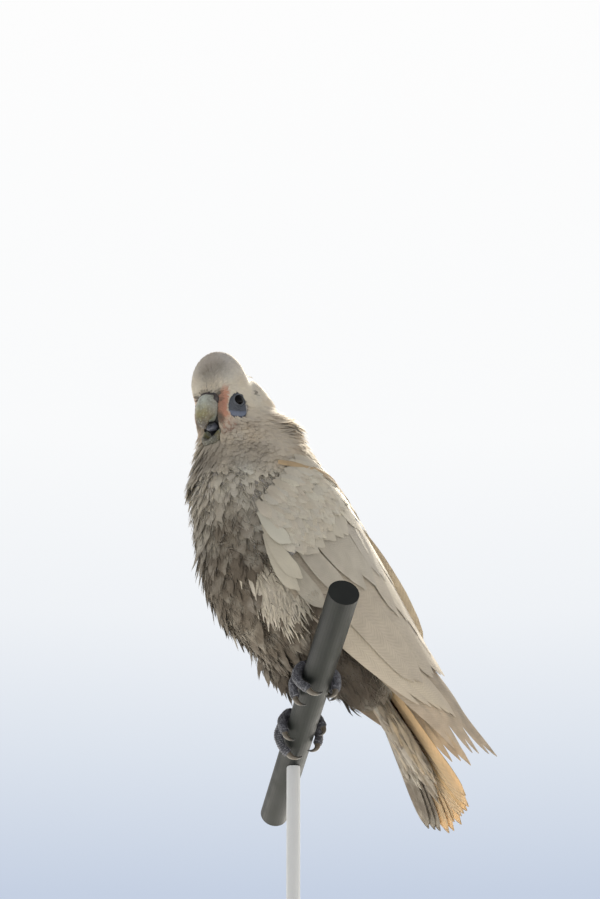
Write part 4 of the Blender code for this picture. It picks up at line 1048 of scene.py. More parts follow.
def wing_feathers(seed):
    """One folded wing, from its lowest layer to its highest: primaries, secondaries, tertials, three
    rows of coverts, the small feathers of the bend, the alula and the scapulars."""
    rng = np.random.default_rng(seed)
    row = feather_row
    share = np.linspace(0, 1, 240)
    bend = np.stack((-0.16 + 1.20 * share + rng.normal(0, 0.04, 240), rng.uniform(0.08, 0.95, 240)), 1)
    down = bend + np.stack((rng.uniform(0.34, 0.52, 240), rng.normal(0.012, 0.02, 240)), 1)
    layers = [
        # The lower rows carry more stain and grey tint than the upper ones, so the folded wing darkens from
        # its coverts down to its flight feathers: painted shade
        # the long primaries, the outermost lowest; each shows as a narrow band beside the next
        row(6, ((1.3, 0.06), (2.2, 0.60)), ((6.15, 0.02), (6.98, 0.90)), (4.6, 5.6), (-3.6, -3.0),
            (-1.6, 0.6), rng, pointed, 0.0, 26, rounding=0.6, depth=0.0003, scatter=0.03, warm=0.26,
            cup=0.08, tint=0.5, soil=0.48),
        row(5, ((1.5, 0.02), (2.0, 0.22)), ((4.5, 0.05), (5.6, 0.52)), (4.4, 5.4), (-2.8, -2.4),
            (0.1, 0.5), rng, pointed, -0.02, 22, rounding=0.6, depth=0.0003, warm=0.20, cup=0.08,
            tint=0.3, soil=0.20),
        row(9, ((1.2, 0.12), (1.1, 0.88)), ((4.10, 0.24), (4.62, 0.92)), (6.4, 8.6), (-2.2, -2.0),
            (0.9, 0.9), rng, vane, 0.02, 22, tint=0.35, warm=0.18, soil=0.32, scatter=0.05),
        row(4, ((0.8, 0.62), (0.6, 0.95)), ((3.30, 0.66), (4.05, 1.00)), (8.0, 9.0), (-1.4, -1.4),
            (1.10, 1.1), rng, vane, 0.02, 20, tint=0.30, warm=0.14, soil=0.26, scatter=0.06),
        row(8, ((0.9, 0.05), (0.5, 0.92)), ((2.45, 0.13), (3.00, 0.94)), (6.5, 9.5), (-1.0, -0.8),
            (1.25, 1.3), rng, spoon, 0.0, 14, tint=0.30, scatter=0.04, soil=0.34),
        row(8, ((0.45, 0.10), (0.2, 0.90)), ((1.62, 0.20), (2.05, 0.92)), (6.5, 9.5), (-0.4, -0.2),
            (1.55, 1.6), rng, spoon, 0.0, 14, tint=0.16, scatter=0.06, soil=0.22),
        row(8, ((0.15, 0.12), (0.0, 0.90)), ((1.08, 0.24), (1.38, 0.90)), (5.6, 8.5), (0.1, 0.2),
            (1.9, 2.0), rng, spoon, 0.0, 12, tint=0.14, scatter=0.05, soil=0.14),
        row(9, ((0.0, 0.14), (0.0, 0.88)), ((0.68, 0.22), (0.90, 0.90)), (4.4, 7.0), (0.5, 0.6),
            (2.1, 2.2), rng, spoon, 0.0, 12, tint=0.12, scatter=0.04, soil=0.12),
        row(10, ((-0.05, 0.14), (-0.05, 0.90)), ((0.40, 0.16), (0.54, 0.92)), (3.4, 5.5), (0.9, 0.9),
            (2.3, 2.4), rng, spoon, 0.0, 10, tint=0.12, scatter=0.04, soil=0.10),
        row(10, ((-0.15, 0.12), (-0.15, 0.92)), ((0.20, 0.12), (0.28, 0.94)), (3.0, 4.8), (0.6, 0.6),
            (2.5, 2.6), rng, spoon, 0.0, 10, tint=0.14, scatter=0.04, soil=0.12),
        # mantle feathers that spill over the wing's high edge, golden: a painted glow of light shining
        # through them
        row(26, ((-0.34, 0.72), (0.95, 0.99)), ((0.74, 0.93), (2.30, 1.01)), (2.1, 2.8), (1.9, 0.5),
            (3.8, 2.3), rng, pointed, 0.02, 12, tint=0.2, scatter=0.035, depth=0.0012, cup=0.15,
            soil=rng.uniform(0.15, 0.55, 26), even=0.5,
            warm=np.linspace(0.70, 0.10, 26) * rng.uniform(0.6, 1.1, 26)),
        # the soft small feathers of the bend, scattered, each lying on the ones behind it
        row(240, (bend, bend), (down, down), (3.0, 4.4), (1.5, 1.0), (3.2, 2.5), rng,
            contour, 0.0, 7, across=FINE, depth=0.0007, tint=rng.uniform(0.05, 0.25, 240),
            soil=rng.uniform(0.04, 0.18, 240), warm=rng.uniform(0.04, 0.14, 240), even=0.8),
        # the alula: two long feathers and the short bright one on top
        row(1, ((0.45, 0.02),) * 2, ((1.86, 0.02),) * 2, 4.8, 0.2, 2.2, rng, spoon, -0.03, 16,
            tint=0.06, soil=0.14),
        row(1, ((0.30, 0.05),) * 2, ((1.72, 0.07),) * 2, 5.0, 0.8, 2.9, rng, spoon, -0.03, 16,
            tint=0.04, soil=0.13),
        row(1, ((0.05, 0.08),) * 2, ((0.98, 0.12),) * 2, 5.0, 1.6, 3.8, rng, spoon, -0.02, 16,
            tint=0.0, soil=0.08, warm=0.0),
    ]
    return layers


def mirrored(shape):
    """The same shape on the bird's other side, its faces turned to keep looking outwards."""
    other = dict(shape)
    other["vertices"] = shape["vertices"] * (-1.0, 1.0, 1.0)
    other["faces"] = shape["faces"][:, ::-1]
    if "normals" in shape:
        other["normals"] = shape["normals"] * (-1.0, 1.0, 1.0)
    return other


# --- the tail -----------------------------------------------------------------------------------
def on_tail(q, t, height):
    """Places on the tail's fan: q from -1 to 1 across it, t from root to tip, and a height over its
    back; half the width grows from 11 to 36 mm as t^0.8."""
    root, tip = bird(*TAIL_ROOT), bird(*TAIL_TIP)
    along = tip - root
    across = np.array((math.cos(TAIL_ROLL), 0.0, math.sin(TAIL_ROLL)))
    over = unit(np.cross(across, along))
    q, t, height = (v[..., None] for v in np.broadcast_arrays(q, t, height * 1.0))
    half = 0.011 + 0.025 * np.clip(t, 0, 2)**0.8
    arch = 0.004 * (1 - q**2) * (1 - 0.5 * t)
    places = root + along * t + across * q * half + over * (arch + height)
    return places, np.broadcast_to(over, t.shape[:-1] + (3,))


def tail_feathers(seed):
    """Twelve tail feathers, the middle pair on top, and the coverts over and under their roots."""
    rng = np.random.default_rng(seed)
    q = (np.arange(12) - 5.5) / 6.3 + rng.uniform(-0.03, 0.03, 12)
    t = np.linspace(0.02, 1.0, 16)[None]
    length = 1 - 0.10 * q[:, None]**2 + rng.uniform(-0.035, 0.015, (12, 1))
    height = 0.0008 - 0.0032 * np.abs(q)[:, None]
    line, out = on_tail(q[:, None] * (0.55 + 0.45 * t), t * length, height * np.ones_like(t))
    half = 0.0068 + rng.uniform(-0.0004, 0.0004, 12)
    shape = blades(line, out, half, vane, ragged(rng, 12, BROAD, 0.022, 0.004), BROAD, 0.0005, cup=0.06,
                   shaft=0.0003, rows=24)
    # Yellow: the tail's own wash, strengthened as a painted glow of light through the near feathers; the far
    # feathers are browner and less yellow, painted shade where no light comes through
    far = ramp(q, -0.30, -0.60)
    yellow_and_glow = 0.80 - 0.60 * far - 0.25 * rng.random(12)
    made = [with_looks(shape, np.stack((0.5 + q * 0.4, np.full(12, 0.3)), 1), barbs=150.0,
                       soil=0.30 + 0.65 * far, dark=0.0, blush=0.0, warm=yellow_and_glow, tint=0.3)]
    for back, count, reach in ((1, 46, 0.42), (-1, 150, 0.86)):
        q = rng.uniform(-0.95, 0.95, count) - (back == -1) * 0.32
        end = reach * (1 - 0.25 * np.abs(q)) * rng.uniform(0.35, 1.0, count)
        start = end - 0.30 - 0.10 * rng.random(count)
        t = start[:, None] + (end - start)[:, None] * np.linspace(0, 1, 10)
        depth = (0.0050 - 0.0045 * t / reach) if back == 1 else (0.0165 - 0.0130 * t / reach)
        depth = depth + 0.0012 * np.linspace(-1, 0.6, 10) + rng.uniform(0, 0.001, (count, 1))
        arch = 1 - 0.5 * (q[:, None] / (0.5 + 0.8 * np.clip(t, 0, 1)))**2
        line, out = on_tail(q[:, None] * (0.45 + 0.55 * np.clip(t, 0, 1)), t, back * depth * arch)
        half = rng.uniform(0.0038, 0.0058, count)
        shape = blades(line, back * out, half, spoon, ragged(rng, count, FINE, 0.20, 0.22), FINE, 0.0004,
                       cup=0.2, rows=10)
        # the under coverts are browner, and darker the nearer the vent they end
        dark = np.clip(0.85 - end * 1.7, 0, 0.8) if back == -1 else 0.0
        made.append(with_looks(shape, np.stack((0.5 + q * 0.4, 0.5 + 0.2 * back + end * 0.2), 1), barbs=70.0,
                               soil=rng.uniform(0.45, 0.95, count) if back == -1 else 0.15, dark=dark,
                               blush=0.0, warm=rng.uniform(0.1, 0.5, count),
                               tint=rng.uniform(0.1, 0.5, count)))
    return made


# --- the skin -----------------------------------------------------------------------------------
COAT_DEPTH = 0.0050
LESS_ON_FACE = 0.0036


def coat_depth(places):
    """How deep the skin lies under the coat's outer face: 5 mm on the body, 1.4 mm on the face."""
    _, ahead, up = np.moveaxis(in_head(places), -1, 0)
    return COAT_DEPTH - LESS_ON_FACE * ramp(ahead + 0.35 * (up + 0.02), -0.022, -0.004)


def body_skin():
    """The one skin under the feathers: the surface where the body's distance is minus the coat's
    depth, found on the grid and then settled onto it."""
    values = BODY.values + coat_depth(BODY.grid)
    points, quads = surface_net(values, BODY.grid)
    for _ in range(3):
        distance, out = BODY.ask(points)
        points = points - out * (distance + coat_depth(points))[:, None] * 0.8
    side, ahead, up = np.moveaxis(in_head(points), -1, 0)
    # where the skin round the bill's root is painted near black: painted shade where bill and face meet
    gape = (ramp(np.abs(side), 0.0120, 0.0100) * ramp(ahead, 0.002, 0.005)
            * ramp(np.abs(up + 0.0150), 0.0190, 0.0160))
    return {"vertices": points, "faces": quads, "gape": gape}


def wing_arm(mirror):
    """The fleshy forearm inside a folded wing: a plate 3 mm thick under the wing's sheet."""
    grid = np.arange(3, 38, 2)
    upper = WING[grid][:, 2:23:2] - WING_OUT[grid][:, 2:23:2] * 0.0040
    under = (upper - WING_OUT[grid][:, 2:23:2] * 0.0030)[1:-1, 1:-1]
    vertices = np.concatenate((upper.reshape(-1, 3), under.reshape(-1, 3)))
    faces = blade_faces(upper.shape[0], upper.shape[1])[:, ::-1]
    shape = {"vertices": vertices, "faces": faces, "down": 1.0}
    return shape if mirror == 1 else mirrored(shape)


def eye_surround(mirror):
    """The bare skin round an eye, from the lid's edge out under the feathers: the head's surface
    plus rings for the lid and two folds, and a low pouch under the eye, closed at the back."""
    angle = np.arange(96) * math.tau / 96
    share = np.linspace(0, 1, 44)[:, None]
    lid = LID_RADIUS * (1 + 0.06 * np.cos(2 * angle - 0.3))
    reach = eye_patch_reach(np.where(angle > math.pi, angle - math.tau, angle)) + 0.0010
    r = lid + (reach - lid) * share**1.15
    ahead, up = LID_AHEAD + r * np.cos(angle), r * np.sin(angle)
    out_of_head = HEAD_LEFT * mirror
    places = on_head(0.024 * mirror, ahead, up)
    for _ in range(8):
        distance, out = BODY.ask(places)
        facing = np.maximum((out * out_of_head).sum(-1), 0.35)
        places = places - out_of_head * np.clip(distance / facing, -0.01, 0.01)[..., None]
    past = r - lid
    rise = -0.0008 + 0.0007 * np.exp(-((past - 0.0006) / 0.0008)**2)
    folds = ((-0.0005, 0.0016, 0.00035), (0.0004, 0.0023, 0.0004), (-0.0003, 0.0031, 0.0003))
    for height, place, width in folds:
        rise = rise + height * np.exp(-((past - place) / width)**2)
    crease = np.sin(angle * 23 + 2.0 * np.sin(angle * 3)) * 0.00012 * ramp(past, 0.0010, 0.0030)
    middle = ahead - 0.0030
    pouch = 0.0010 * np.exp(-((up + 0.0094) / 0.0018)**2 - (middle / 0.0070)**2)
    fold = -0.0006 * np.exp(-((up + 0.0073) / 0.00045)**2) * ramp(np.abs(middle), 0.0085, 0.0050)
    rise = rise + crease + pouch + fold - 0.0014 * ramp(share, 0.86, 1.0)
    eye_side = EYE_PLACE[0] + EYE_OUT[0] * LID_DEPTH - EYE_OUT[1] / EYE_OUT[0] * (ahead - LID_AHEAD)
    upper = places + out_of_head * rise[..., None]
    level = in_head(upper)[..., 0] * mirror
    tuck = np.exp(-past / 0.0006)
    upper = upper + out_of_head * ((eye_side + 0.0002 - level) * tuck)[..., None]
    rings = np.concatenate((upper, (upper - out_of_head * 0.0016)[::-1]))
    g = np.arange(rings.shape[0] * 96).reshape(-1, 96)
    down, turned = np.roll(g, -1, axis=0), np.roll(g, -1, axis=1)
    both = np.roll(down, -1, axis=1)
    quads = np.stack((g, turned, both, down), -1).reshape(-1, 4)
    bare = np.broadcast_to(1.0, rings.shape[:2]).ravel()
    pale = ramp(up, -0.0070, -0.0077)
    # edge: painted shade, a dark line round the patch's outer rim where the feathers overhang it and at the
    # lid's edge where it tucks against the eye
    edge = np.broadcast_to(np.maximum(ramp(share, 0.86, 0.93), ramp(past, 0.0004, 0.0001) * 0.8), pale.shape)
    pale, edge = (np.concatenate((v, v[::-1])).ravel() for v in (pale, edge))
    shape = {"vertices": rings.reshape(-1, 3), "faces": quads, "bare": bare, "pale": pale, "edge": edge}
    if mirror == 1:
        shape["faces"] = quads[:, ::-1]
    return shape


# --- bill, tongue and eyes ----------------------------------------------------------------------
UPPER_BILL = (          # top line and underline as (ahead, up) in the head's middle plane, half width
    ((0.0040, 0.0065), (0.0040, -0.0100), 0.0070),
    ((0.0115, 0.0068), (0.0075, -0.0112), 0.0076),
    ((0.0172, 0.0050), (0.0104, -0.0120), 0.0077),
    ((0.0210, 0.0000), (0.0138, -0.0119), 0.0073),
    ((0.0231, -0.0060), (0.0168, -0.0121), 0.0064),
    ((0.0238, -0.0112), (0.0188, -0.0134), 0.0049),
    ((0.0230, -0.0155), (0.0194, -0.0158), 0.0031),
    ((0.0206, -0.0184), (0.0197, -0.0182), 0.0006),
)
LOWER_BILL = (
    ((0.0030, -0.0120), (0.0000, -0.0250), 0.0076),
    ((0.0085, -0.0134), (0.0055, -0.0285), 0.0081),
    ((0.0132, -0.0160), (0.0110, -0.0300), 0.0078),
    ((0.0167, -0.0204), (0.0155, -0.0290), 0.0066),
    ((0.0186, -0.0234), (0.0187, -0.0264), 0.0046),
)


def horn(rows, roundness, sides=56, steps=14, hollow=0.0):
    """A half of the bill: in each ring the height runs from underline to top line as
    (1 + sin a) / 2 and the width as |cos a|^roundness, with fine growth ridges and, on the lower
    half, a hollow trough along its top."""
    table = smooth_rows([(*top, *under, half) for top, under, half in rows], steps)
    angle = np.arange(sides) * math.tau / sides
    share = 0.5 + 0.5 * np.sin(angle)[None]
    wide = np.sign(np.cos(angle)) * np.abs(np.cos(angle))**roundness
    top, under, half = table[:, None, 0:2], table[:, None, 2:4], table[:, 4:5]
    dip = hollow * np.maximum(np.sin(angle), 0)**2 * (1 - np.abs(wide))
    line = under + (top - under) * (share - dip)[..., None]
    places = on_head(half * wide, line[..., 0], line[..., 1])
    run = np.linspace(0, 1, len(table))[:, None]
    ridge = 0.00007 * np.sin(angle * 19 + 3 * run)[None, 0] + 0.00006 * np.sin(run * 70 + 2 * np.cos(angle))
    middle = places.mean(1, keepdims=True)
    places = places + unit(places - middle) * (ridge * np.sin(math.pi * run)**0.5)[..., None]
    shape = ringed(places[:, ::-1])
    # rim is 1 along the upper bill's top and under lines and the lower bill's top edge, 0 on the sides and
    # below: the material paints shade where it is low
    rim = ramp(share, 0.66, 0.80) if hollow else 1 - np.abs(wide)**1.5
    shape["rim"] = np.append((rim * np.ones_like(run))[:, ::-1], (1.0, 1.0))
    return shape


def eyeball(mirror):
    """A glossy ball with a low bulge for the cornea; its value runs from the pupil's middle (0)
    round to the back (1)."""
    polar = np.linspace(0.02, math.pi - 0.02, 40)
    turn = np.arange(48) * math.tau / 48
    radius = EYE_RADIUS + 0.0003 * np.exp(-(polar / 0.50)**2)
    gaze = HEAD_LEFT * mirror * EYE_OUT[0] + HEAD_FORE * EYE_OUT[1]
    ring = around(gaze, HEAD_UP, turn)[None]
    places = on_head(EYE_PLACE[0] * mirror, *EYE_PLACE[1:]) + radius[:, None, None] * (
        gaze * np.cos(polar)[:, None, None] + ring * np.sin(polar)[:, None, None])
    return ringed(places)


def tongue_shape():
    """The thick, blunt tongue: a lobe with a groove down its middle."""
    polar = np.linspace(0.03, math.pi - 0.03, 30)[:, None]
    turn = np.arange(32)[None] * math.tau / 32
    side = 0.0038 * np.sin(polar) * np.cos(turn)
    up = 0.0030 * np.sin(polar) * np.sin(turn) - 0.0006 * np.exp(-(side / 0.0009)**2) * (np.sin(turn) > 0)
    ahead = 0.0108 + 0.0056 * np.cos(polar)
    return ringed(on_head(side, ahead, -0.0160 + up - 0.25 * (ahead - 0.0108)))


def cere_shape():
    """The bare, dark skin over the bill's root, low on the sides, with a nostril pit on each side."""
    polar = np.linspace(0.03, math.pi - 0.03, 36)[:, None]
    turn = np.arange(48)[None] * math.tau / 48
    side = 0.0088 * np.cos(polar) * np.ones_like(turn)
    ahead = 0.0128 + 0.0046 * np.sin(polar) * np.cos(turn)
    up = 0.0024 + 0.0056 * np.sin(polar) * np.sin(turn) - 18.0 * side**2
    pit = 0.0018 * np.exp(-((np.abs(side) - 0.0058) / 0.0012)**2 - ((turn - 0.6) / 0.40)**2)
    return ringed(on_head(side * (1 - 0.12 * pit / 0.0018), ahead - pit, up - pit * 0.5))


# --- the feet -----------------------------------------------------------------------------------
TOES = (                # side along the cable at root and tip, angles from its top, claw's length
    (2, -0.0038, -0.0066, 34, 112, 0.0115),
    (3, 0.0038, 0.0094, 34, 142, 0.0125),
    (1, -0.0038, -0.0066, -34, -88, 0.0105),
    (4, 0.0038, 0.0040, -34, -116, 0.0120),
)


TARSUS_WAY = unit(np.array((0.0, 0.45, 0.9)))
TARSUS_LENGTH = 0.026
TARSUS_RADIUS = 0.0036
PALM_HALF = 0.0068


def toe_line(side_name, toe, t):
    """A toe's middle line at shares of its length, and its radii with swollen pads."""
    _, root_side, tip_side, start, end, _ = toe
    mirror = 1 if side_name == "left" else -1
    along = FOOT_PLACES[side_name] + mirror * (root_side + (tip_side - root_side) * t)
    angle = np.radians(start + (end - start) * t)
    radius = TOE_RADIUS * (1.0 - 0.12 * (0.5 - 0.5 * np.cos(4 * math.pi * t)) - 0.14 * t)
    return round_cable(along, angle, TOE_RADIUS + GAP), radius


def leg_tubes():
    """Toes, palm and tarsus of both feet as smooth tubes."""
    shapes = []
    for side_name in ("left", "right"):
        for toe in TOES:
            t = np.linspace(-0.12, 1.0, 26)
            points, radii = toe_line(side_name, toe, t)
            way = unit(points[-1] - points[-2])
            ends = points[-1] + way * np.array((0.4, 0.75, 0.95))[:, None] * radii[-1]
            points = np.concatenate((points, ends))
            radii = np.concatenate((radii, radii[-1] * np.array((0.90, 0.65, 0.30))))
            shapes.append(tube(points, radii * 0.96, 20, upright=PERCH_AXIS))
        along = FOOT_PLACES[side_name]
        angle = np.radians(np.linspace(-36, 36, 12))
        half = 0.0070 - 0.0022 * np.abs(np.linspace(-1, 1, 12))**3
        shapes.append(tube(round_cable(along, angle, TOE_RADIUS + GAP), half, 24, squash=0.45,
                           upright=PERCH_TOP))
        foot = round_cable(along, 0.0, TOE_RADIUS)
        t = np.linspace(0, 1, 14)
        shapes.append(tube(foot + TARSUS_WAY * (TARSUS_LENGTH * t)[:, None],
                           TARSUS_RADIUS * (1.15 - 0.25 * np.sin(math.pi * t)), 20))
    return shapes


def foot_scales(seed):
    """The granular scales of toes and tarsus: low domes, close set in rows round each, larger along
    the top of the toes."""
    rng = np.random.default_rng(seed)
    places, outs, sizes = [], [], []
    for side_name in ("left", "right"):
        for toe in TOES:
            rows = np.arange(0.02, 1.06, 0.052)
            turn = np.arange(17) / 17
            t, a = (v.ravel() for v in np.meshgrid(rows, turn, indexing="ij"))
            a = (a + 0.5 / 17 * (np.round(t / 0.052) % 2) + rng.uniform(-0.012, 0.012, len(a))) * math.tau
            middle, radius = toe_line(side_name, toe, np.clip(t, 0, 1))
            back, _ = toe_line(side_name, toe, np.clip(t, 0, 1) - 0.02)
            ahead = unit(middle - back)
            middle = middle + ahead * ((t - np.clip(t, 0, 1)) * 0.03)[:, None]
            out = around(ahead, PERCH_AXIS, a)
            places.append(middle + out * (radius * 0.93)[:, None])
            outs.append(out)
            sizes.append(np.full(len(a), 0.00068))
        t, a = (v.ravel() for v in np.meshgrid(np.arange(0.1, 1.0, 0.055), np.arange(16) / 16, indexing="ij"))
        a = (a + 0.5 / 16 * (np.round(t / 0.055) % 2)) * math.tau
        out = around(TARSUS_WAY, (1.0, 0.0, 0.0), a)
        foot = round_cable(FOOT_PLACES[side_name], 0.0, TOE_RADIUS)
        thick = TARSUS_RADIUS * (1.12 - 0.25 * np.sin(math.pi * t))
        places.append(foot + TARSUS_WAY * (TARSUS_LENGTH * t)[:, None] + out * thick[:, None])
        outs.append(out)
        sizes.append(np.full(len(a), 0.00078))
        a, b = np.meshgrid(np.linspace(-34, 34, 13), np.linspace(-0.9, 0.9, 11), indexing="ij")
        a, b = a.ravel(), b.ravel()
        along = FOOT_PLACES[side_name] + b * PALM_HALF
        middle = round_cable(along, np.radians(a), TOE_RADIUS * 1.35 + GAP)
        places.append(middle - PERCH_TOP * (0.0012 * np.abs(b)**3)[:, None])
        outs.append(unit(middle - PERCH_MIDDLE - PERCH_AXIS * along[:, None]))
        sizes.append(np.full(len(a), 0.0007))
    places, outs, sizes = np.concatenate(places), np.concatenate(outs), np.concatenate(sizes)
    sizes = sizes * rng.uniform(0.75, 1.2, len(sizes))
    one = unit(np.cross(outs, unit(rng.normal(size=outs.shape))))
    two = np.cross(outs, one)
    polar = np.array((0.45, 1.05, 1.75))[:, None]
    turn = np.arange(6)[None] * math.tau / 6
    local = np.stack((np.sin(polar) * np.cos(turn), np.sin(polar) * np.sin(turn),
                      np.cos(polar) + 0 * turn), -1)
    local = np.concatenate((local.reshape(-1, 3), ((0, 0, 1.0), (0, 0, -0.3))))
    vertices = places[:, None] + sizes[:, None, None] * (
        one[:, None] * local[None, :, :1] + two[:, None] * local[None, :, 1:2]
        + outs[:, None] * local[None, :, 2:] * 0.62)
    single = ringed(np.zeros((3, 6, 3)))
    step = 20 * np.arange(len(places))[:, None, None]
    return {"vertices": vertices.reshape(-1, 3), "faces": (single["faces"][None] + step).reshape(-1, 4),
            "fans": (single["fans"][None] + step).reshape(-1, 3),
            "tint": np.repeat(rng.random(len(places)), 20)}


def claw_shapes():
    """Eight hooked claws: the turn from the toe's way grows evenly along each, and its radius falls
    as (1 - t)^0.8."""
    shapes = []
    for side_name in ("left", "right"):
        for toe in TOES:
            points, _ = toe_line(side_name, toe, np.array((0.98, 1.0)))
            end = math.radians(toe[4])
            way = math.copysign(1.0, end)
            out = PERCH_TOP * math.cos(end) + PERCH_FRONT * math.sin(end)
            tangent = way * (PERCH_FRONT * math.cos(end) - PERCH_TOP * math.sin(end))
            t = np.linspace(0, 1, 30)
            turn = np.radians(36.0 - 135.0 * (t - 0.1)) * ramp(t, 0.0, 0.22)
            step = tangent * np.cos(turn)[:, None] + out * np.sin(turn)[:, None]
            path = points[-1] - tangent * 0.0006 + np.cumsum(step, 0) * toe[5] / 29
            radius = TOE_RADIUS * (0.64 * (1 - t)**0.8 + 0.05)
            shapes.append(tube(path, radius, 18, upright=PERCH_AXIS))
    return shapes


# --- materials of the other pieces --------------------------------------------------------------
def skin_material(looks):
    """Living skin, bare round the eyes and on the legs: matt, finely wrinkled and pored, blue grey
    with a paler pouch under the eye, darker at the lid's edge and the bare patch's outer rim as
    painted shade; under the feathers it is grey blotched with the gap brown, painted shade in the
    gaps between them, and near black round the bill's root, painted shade where bill and face meet."""
    made = new_material("bare_skin_wrinkled")
    tree = made[1]
    fine = speckle(tree, 0.7, 4.0)
    colour = mixed(tree, value_of(tree, "pale"), looks.eye_skin, looks.eye_pouch)
    colour = mixed(tree, maths(tree, "MULTIPLY", fine, 0.35), colour, looks.foot)
    # painted shade: darker at the lid's edge and at the patch's outer rim under the feathers' tips
    colour = mixed(tree, value_of(tree, "edge"), colour, looks.foot)
    # under the feathers: grey blotched with the gap brown, painted shade in the gaps between feathers
    under = mixed(tree, maths(tree, "MULTIPLY_ADD", speckle(tree, 6.0), 0.4, 0.25), looks.shaded, looks.gap)
    under = mixed(tree, value_of(tree, "down"), under, looks.shaded)
    colour = mixed(tree, value_of(tree, "bare"), under, colour)
    colour = mixed(tree, value_of(tree, "leg"), colour, looks.foot)
    # painted shade: near black round the bill's root, where bill and face meet
    colour = mixed(tree, value_of(tree, "gape"), colour, looks.pupil)
    return finished(made, colour, (fine, 0.5, 0.0003), Roughness=0.58)


def foot_material(looks):
    """Horny scales of a parrot's foot: slate, dry, with dusty grooves between the grains."""
    made = new_material("foot_scale_granular")
    tree = made[1]
    dust = between(tree, speckle(tree, 1.6, 4.0), 0.45, 0.70)
    colour = mixed(tree, value_of(tree, "tint"), looks.foot, looks.foot_light)
    colour = mixed(tree, maths(tree, "MULTIPLY", dust, 0.35), colour, looks.foot_light)
    return finished(made, colour, (speckle(tree, 0.5), 0.4, 0.0002), Roughness=0.50)


def horn_material(name, looks, light, low, tip, rough):
    """Keratin horn, grown in layers and worn: faintly waxy, streaked down its length, flaking in
    places, with a second colour low down and a third at its worn tip; where its rim value is low,
    on the upper bill's sides and the lower bill below its top edge, it takes half the stain brown
    as painted shade."""
    made = new_material(name)
    tree = made[1]
    along = value_of(tree, "along")
    streak = speckle(tree, 2.2, 4.0, (1.0, 1.0, 0.22))
    flake = between(tree, speckle(tree, 1.1, 5.0), 0.55, 0.68)
    dark = between(tree, maths(tree, "MULTIPLY_ADD", streak, 0.16, along), 0.64, 0.92)
    grime = between(tree, speckle(tree, 4.5, 5.0), 0.42, 0.66)
    colour = mixed(tree, between(tree, along, 0.40, 0.62), light, low)
    for dirt in (streak, grime):
        colour = mixed(tree, maths(tree, "MULTIPLY", dirt, 0.55), colour, looks.bill_dirt)
    # painted shade: half the stain brown where the rim value is low, on the bill's sides and low on the lower
    # bill; the claws, which have no rim value, take it evenly
    colour = mixed(tree, value_of(tree, "rim"), mixed(tree, 0.50, colour, looks.brown_stain_and_shade), colour)
    colour = mixed(tree, dark, colour, tip)
    colour = mixed(tree, maths(tree, "MULTIPLY", flake, 0.45), colour, light)
    height = maths(tree, "MULTIPLY_ADD", flake, 0.5, streak)
    return finished(made, colour, (height, 0.45, 0.0004), Roughness=rough, IOR=1.54,
                    Subsurface_Weight=0.08, Subsurface_Radius=(0.002, 0.0014, 0.0008))


def eye_material(looks):
    """A wet eye: pupil and iris both near black under a clear, glossy cornea."""
    made = new_material("eye_wet_cornea")
    tree = made[1]
    ring = node(tree, "ShaderNodeValToRGB", {"Fac": value_of(tree, "along")})
    steps = ring.color_ramp.elements
    steps[0].position, steps[0].color = 0.0, looks.pupil
    steps[1].position, steps[1].color = 0.34, looks.eye_skin
    for position, colour in ((0.155, looks.pupil), (0.17, looks.iris), (0.27, looks.iris),
                             (0.30, looks.pupil)):
        steps.new(position).color = colour
    colour = mixed(tree, maths(tree, "MULTIPLY", speckle(tree, 0.4), 0.4), ring.outputs[0], looks.pupil)
    return finished(made, colour, Roughness=0.07, IOR=1.38, Specular_IOR_Level=0.12)


def soft_dark_material(name, colour_one, colour_two, rough, size):
    """Moist or leathery dark skin, as on tongue and cere: two greys in soft patches, fine pores."""
    made = new_material(name)
    tree = made[1]
    colour = mixed(tree, speckle(tree, size, 4.0), colour_one, colour_two)
    return finished(made, colour, (speckle(tree, size * 0.3), 0.5, 0.0003), Roughness=rough)


def cable_material(looks):
    """Polyethylene sheath, extruded and weathered: satin grey black, faint lengthwise wipe marks,
    chalky dust in patches."""
    made = new_material("polyethylene_sheath_weathered")
    _, tree, shader = made
    dust = between(tree, speckle(tree, 14.0, 5.0), 0.42, 0.75)
    colour = mixed(tree, speckle(tree, 3.0, 3.0, (0.12, 1.0, 1.0)), looks.cable, looks.cable_worn)
    colour = mixed(tree, maths(tree, "MULTIPLY", dust, 0.5), colour, looks.cable_dust)
    tree.links.new(maths(tree, "MULTIPLY_ADD", dust, 0.18, 0.42), shader.inputs["Roughness"])
    return finished(made, colour, (speckle(tree, 0.8), 0.25, 0.0002), Specular_IOR_Level=0.22)


def paint_material(looks):
    """Powder-coated aluminium: even pale grey with a fine orange-peel skin 1 mm across."""
    made = new_material("aluminium_powder_coated")
    tree = made[1]
    colour = mixed(tree, maths(tree, "MULTIPLY", speckle(tree, 30.0), 0.3), looks.stand, looks.stand_shade)
    return finished(made, colour, (speckle(tree, 1.0, 2.0), 0.20, 0.0002), Roughness=0.38)


# --- settings -----------------------------------------------------------------------------------
def colour_property(name, description, text):
    """A colour that can be changed, with its default as sRGB hex."""
    return FloatVectorProperty(name=name, description=description, subtype="COLOR", size=4, min=0.0, max=1.0,
                               default=linear(text))


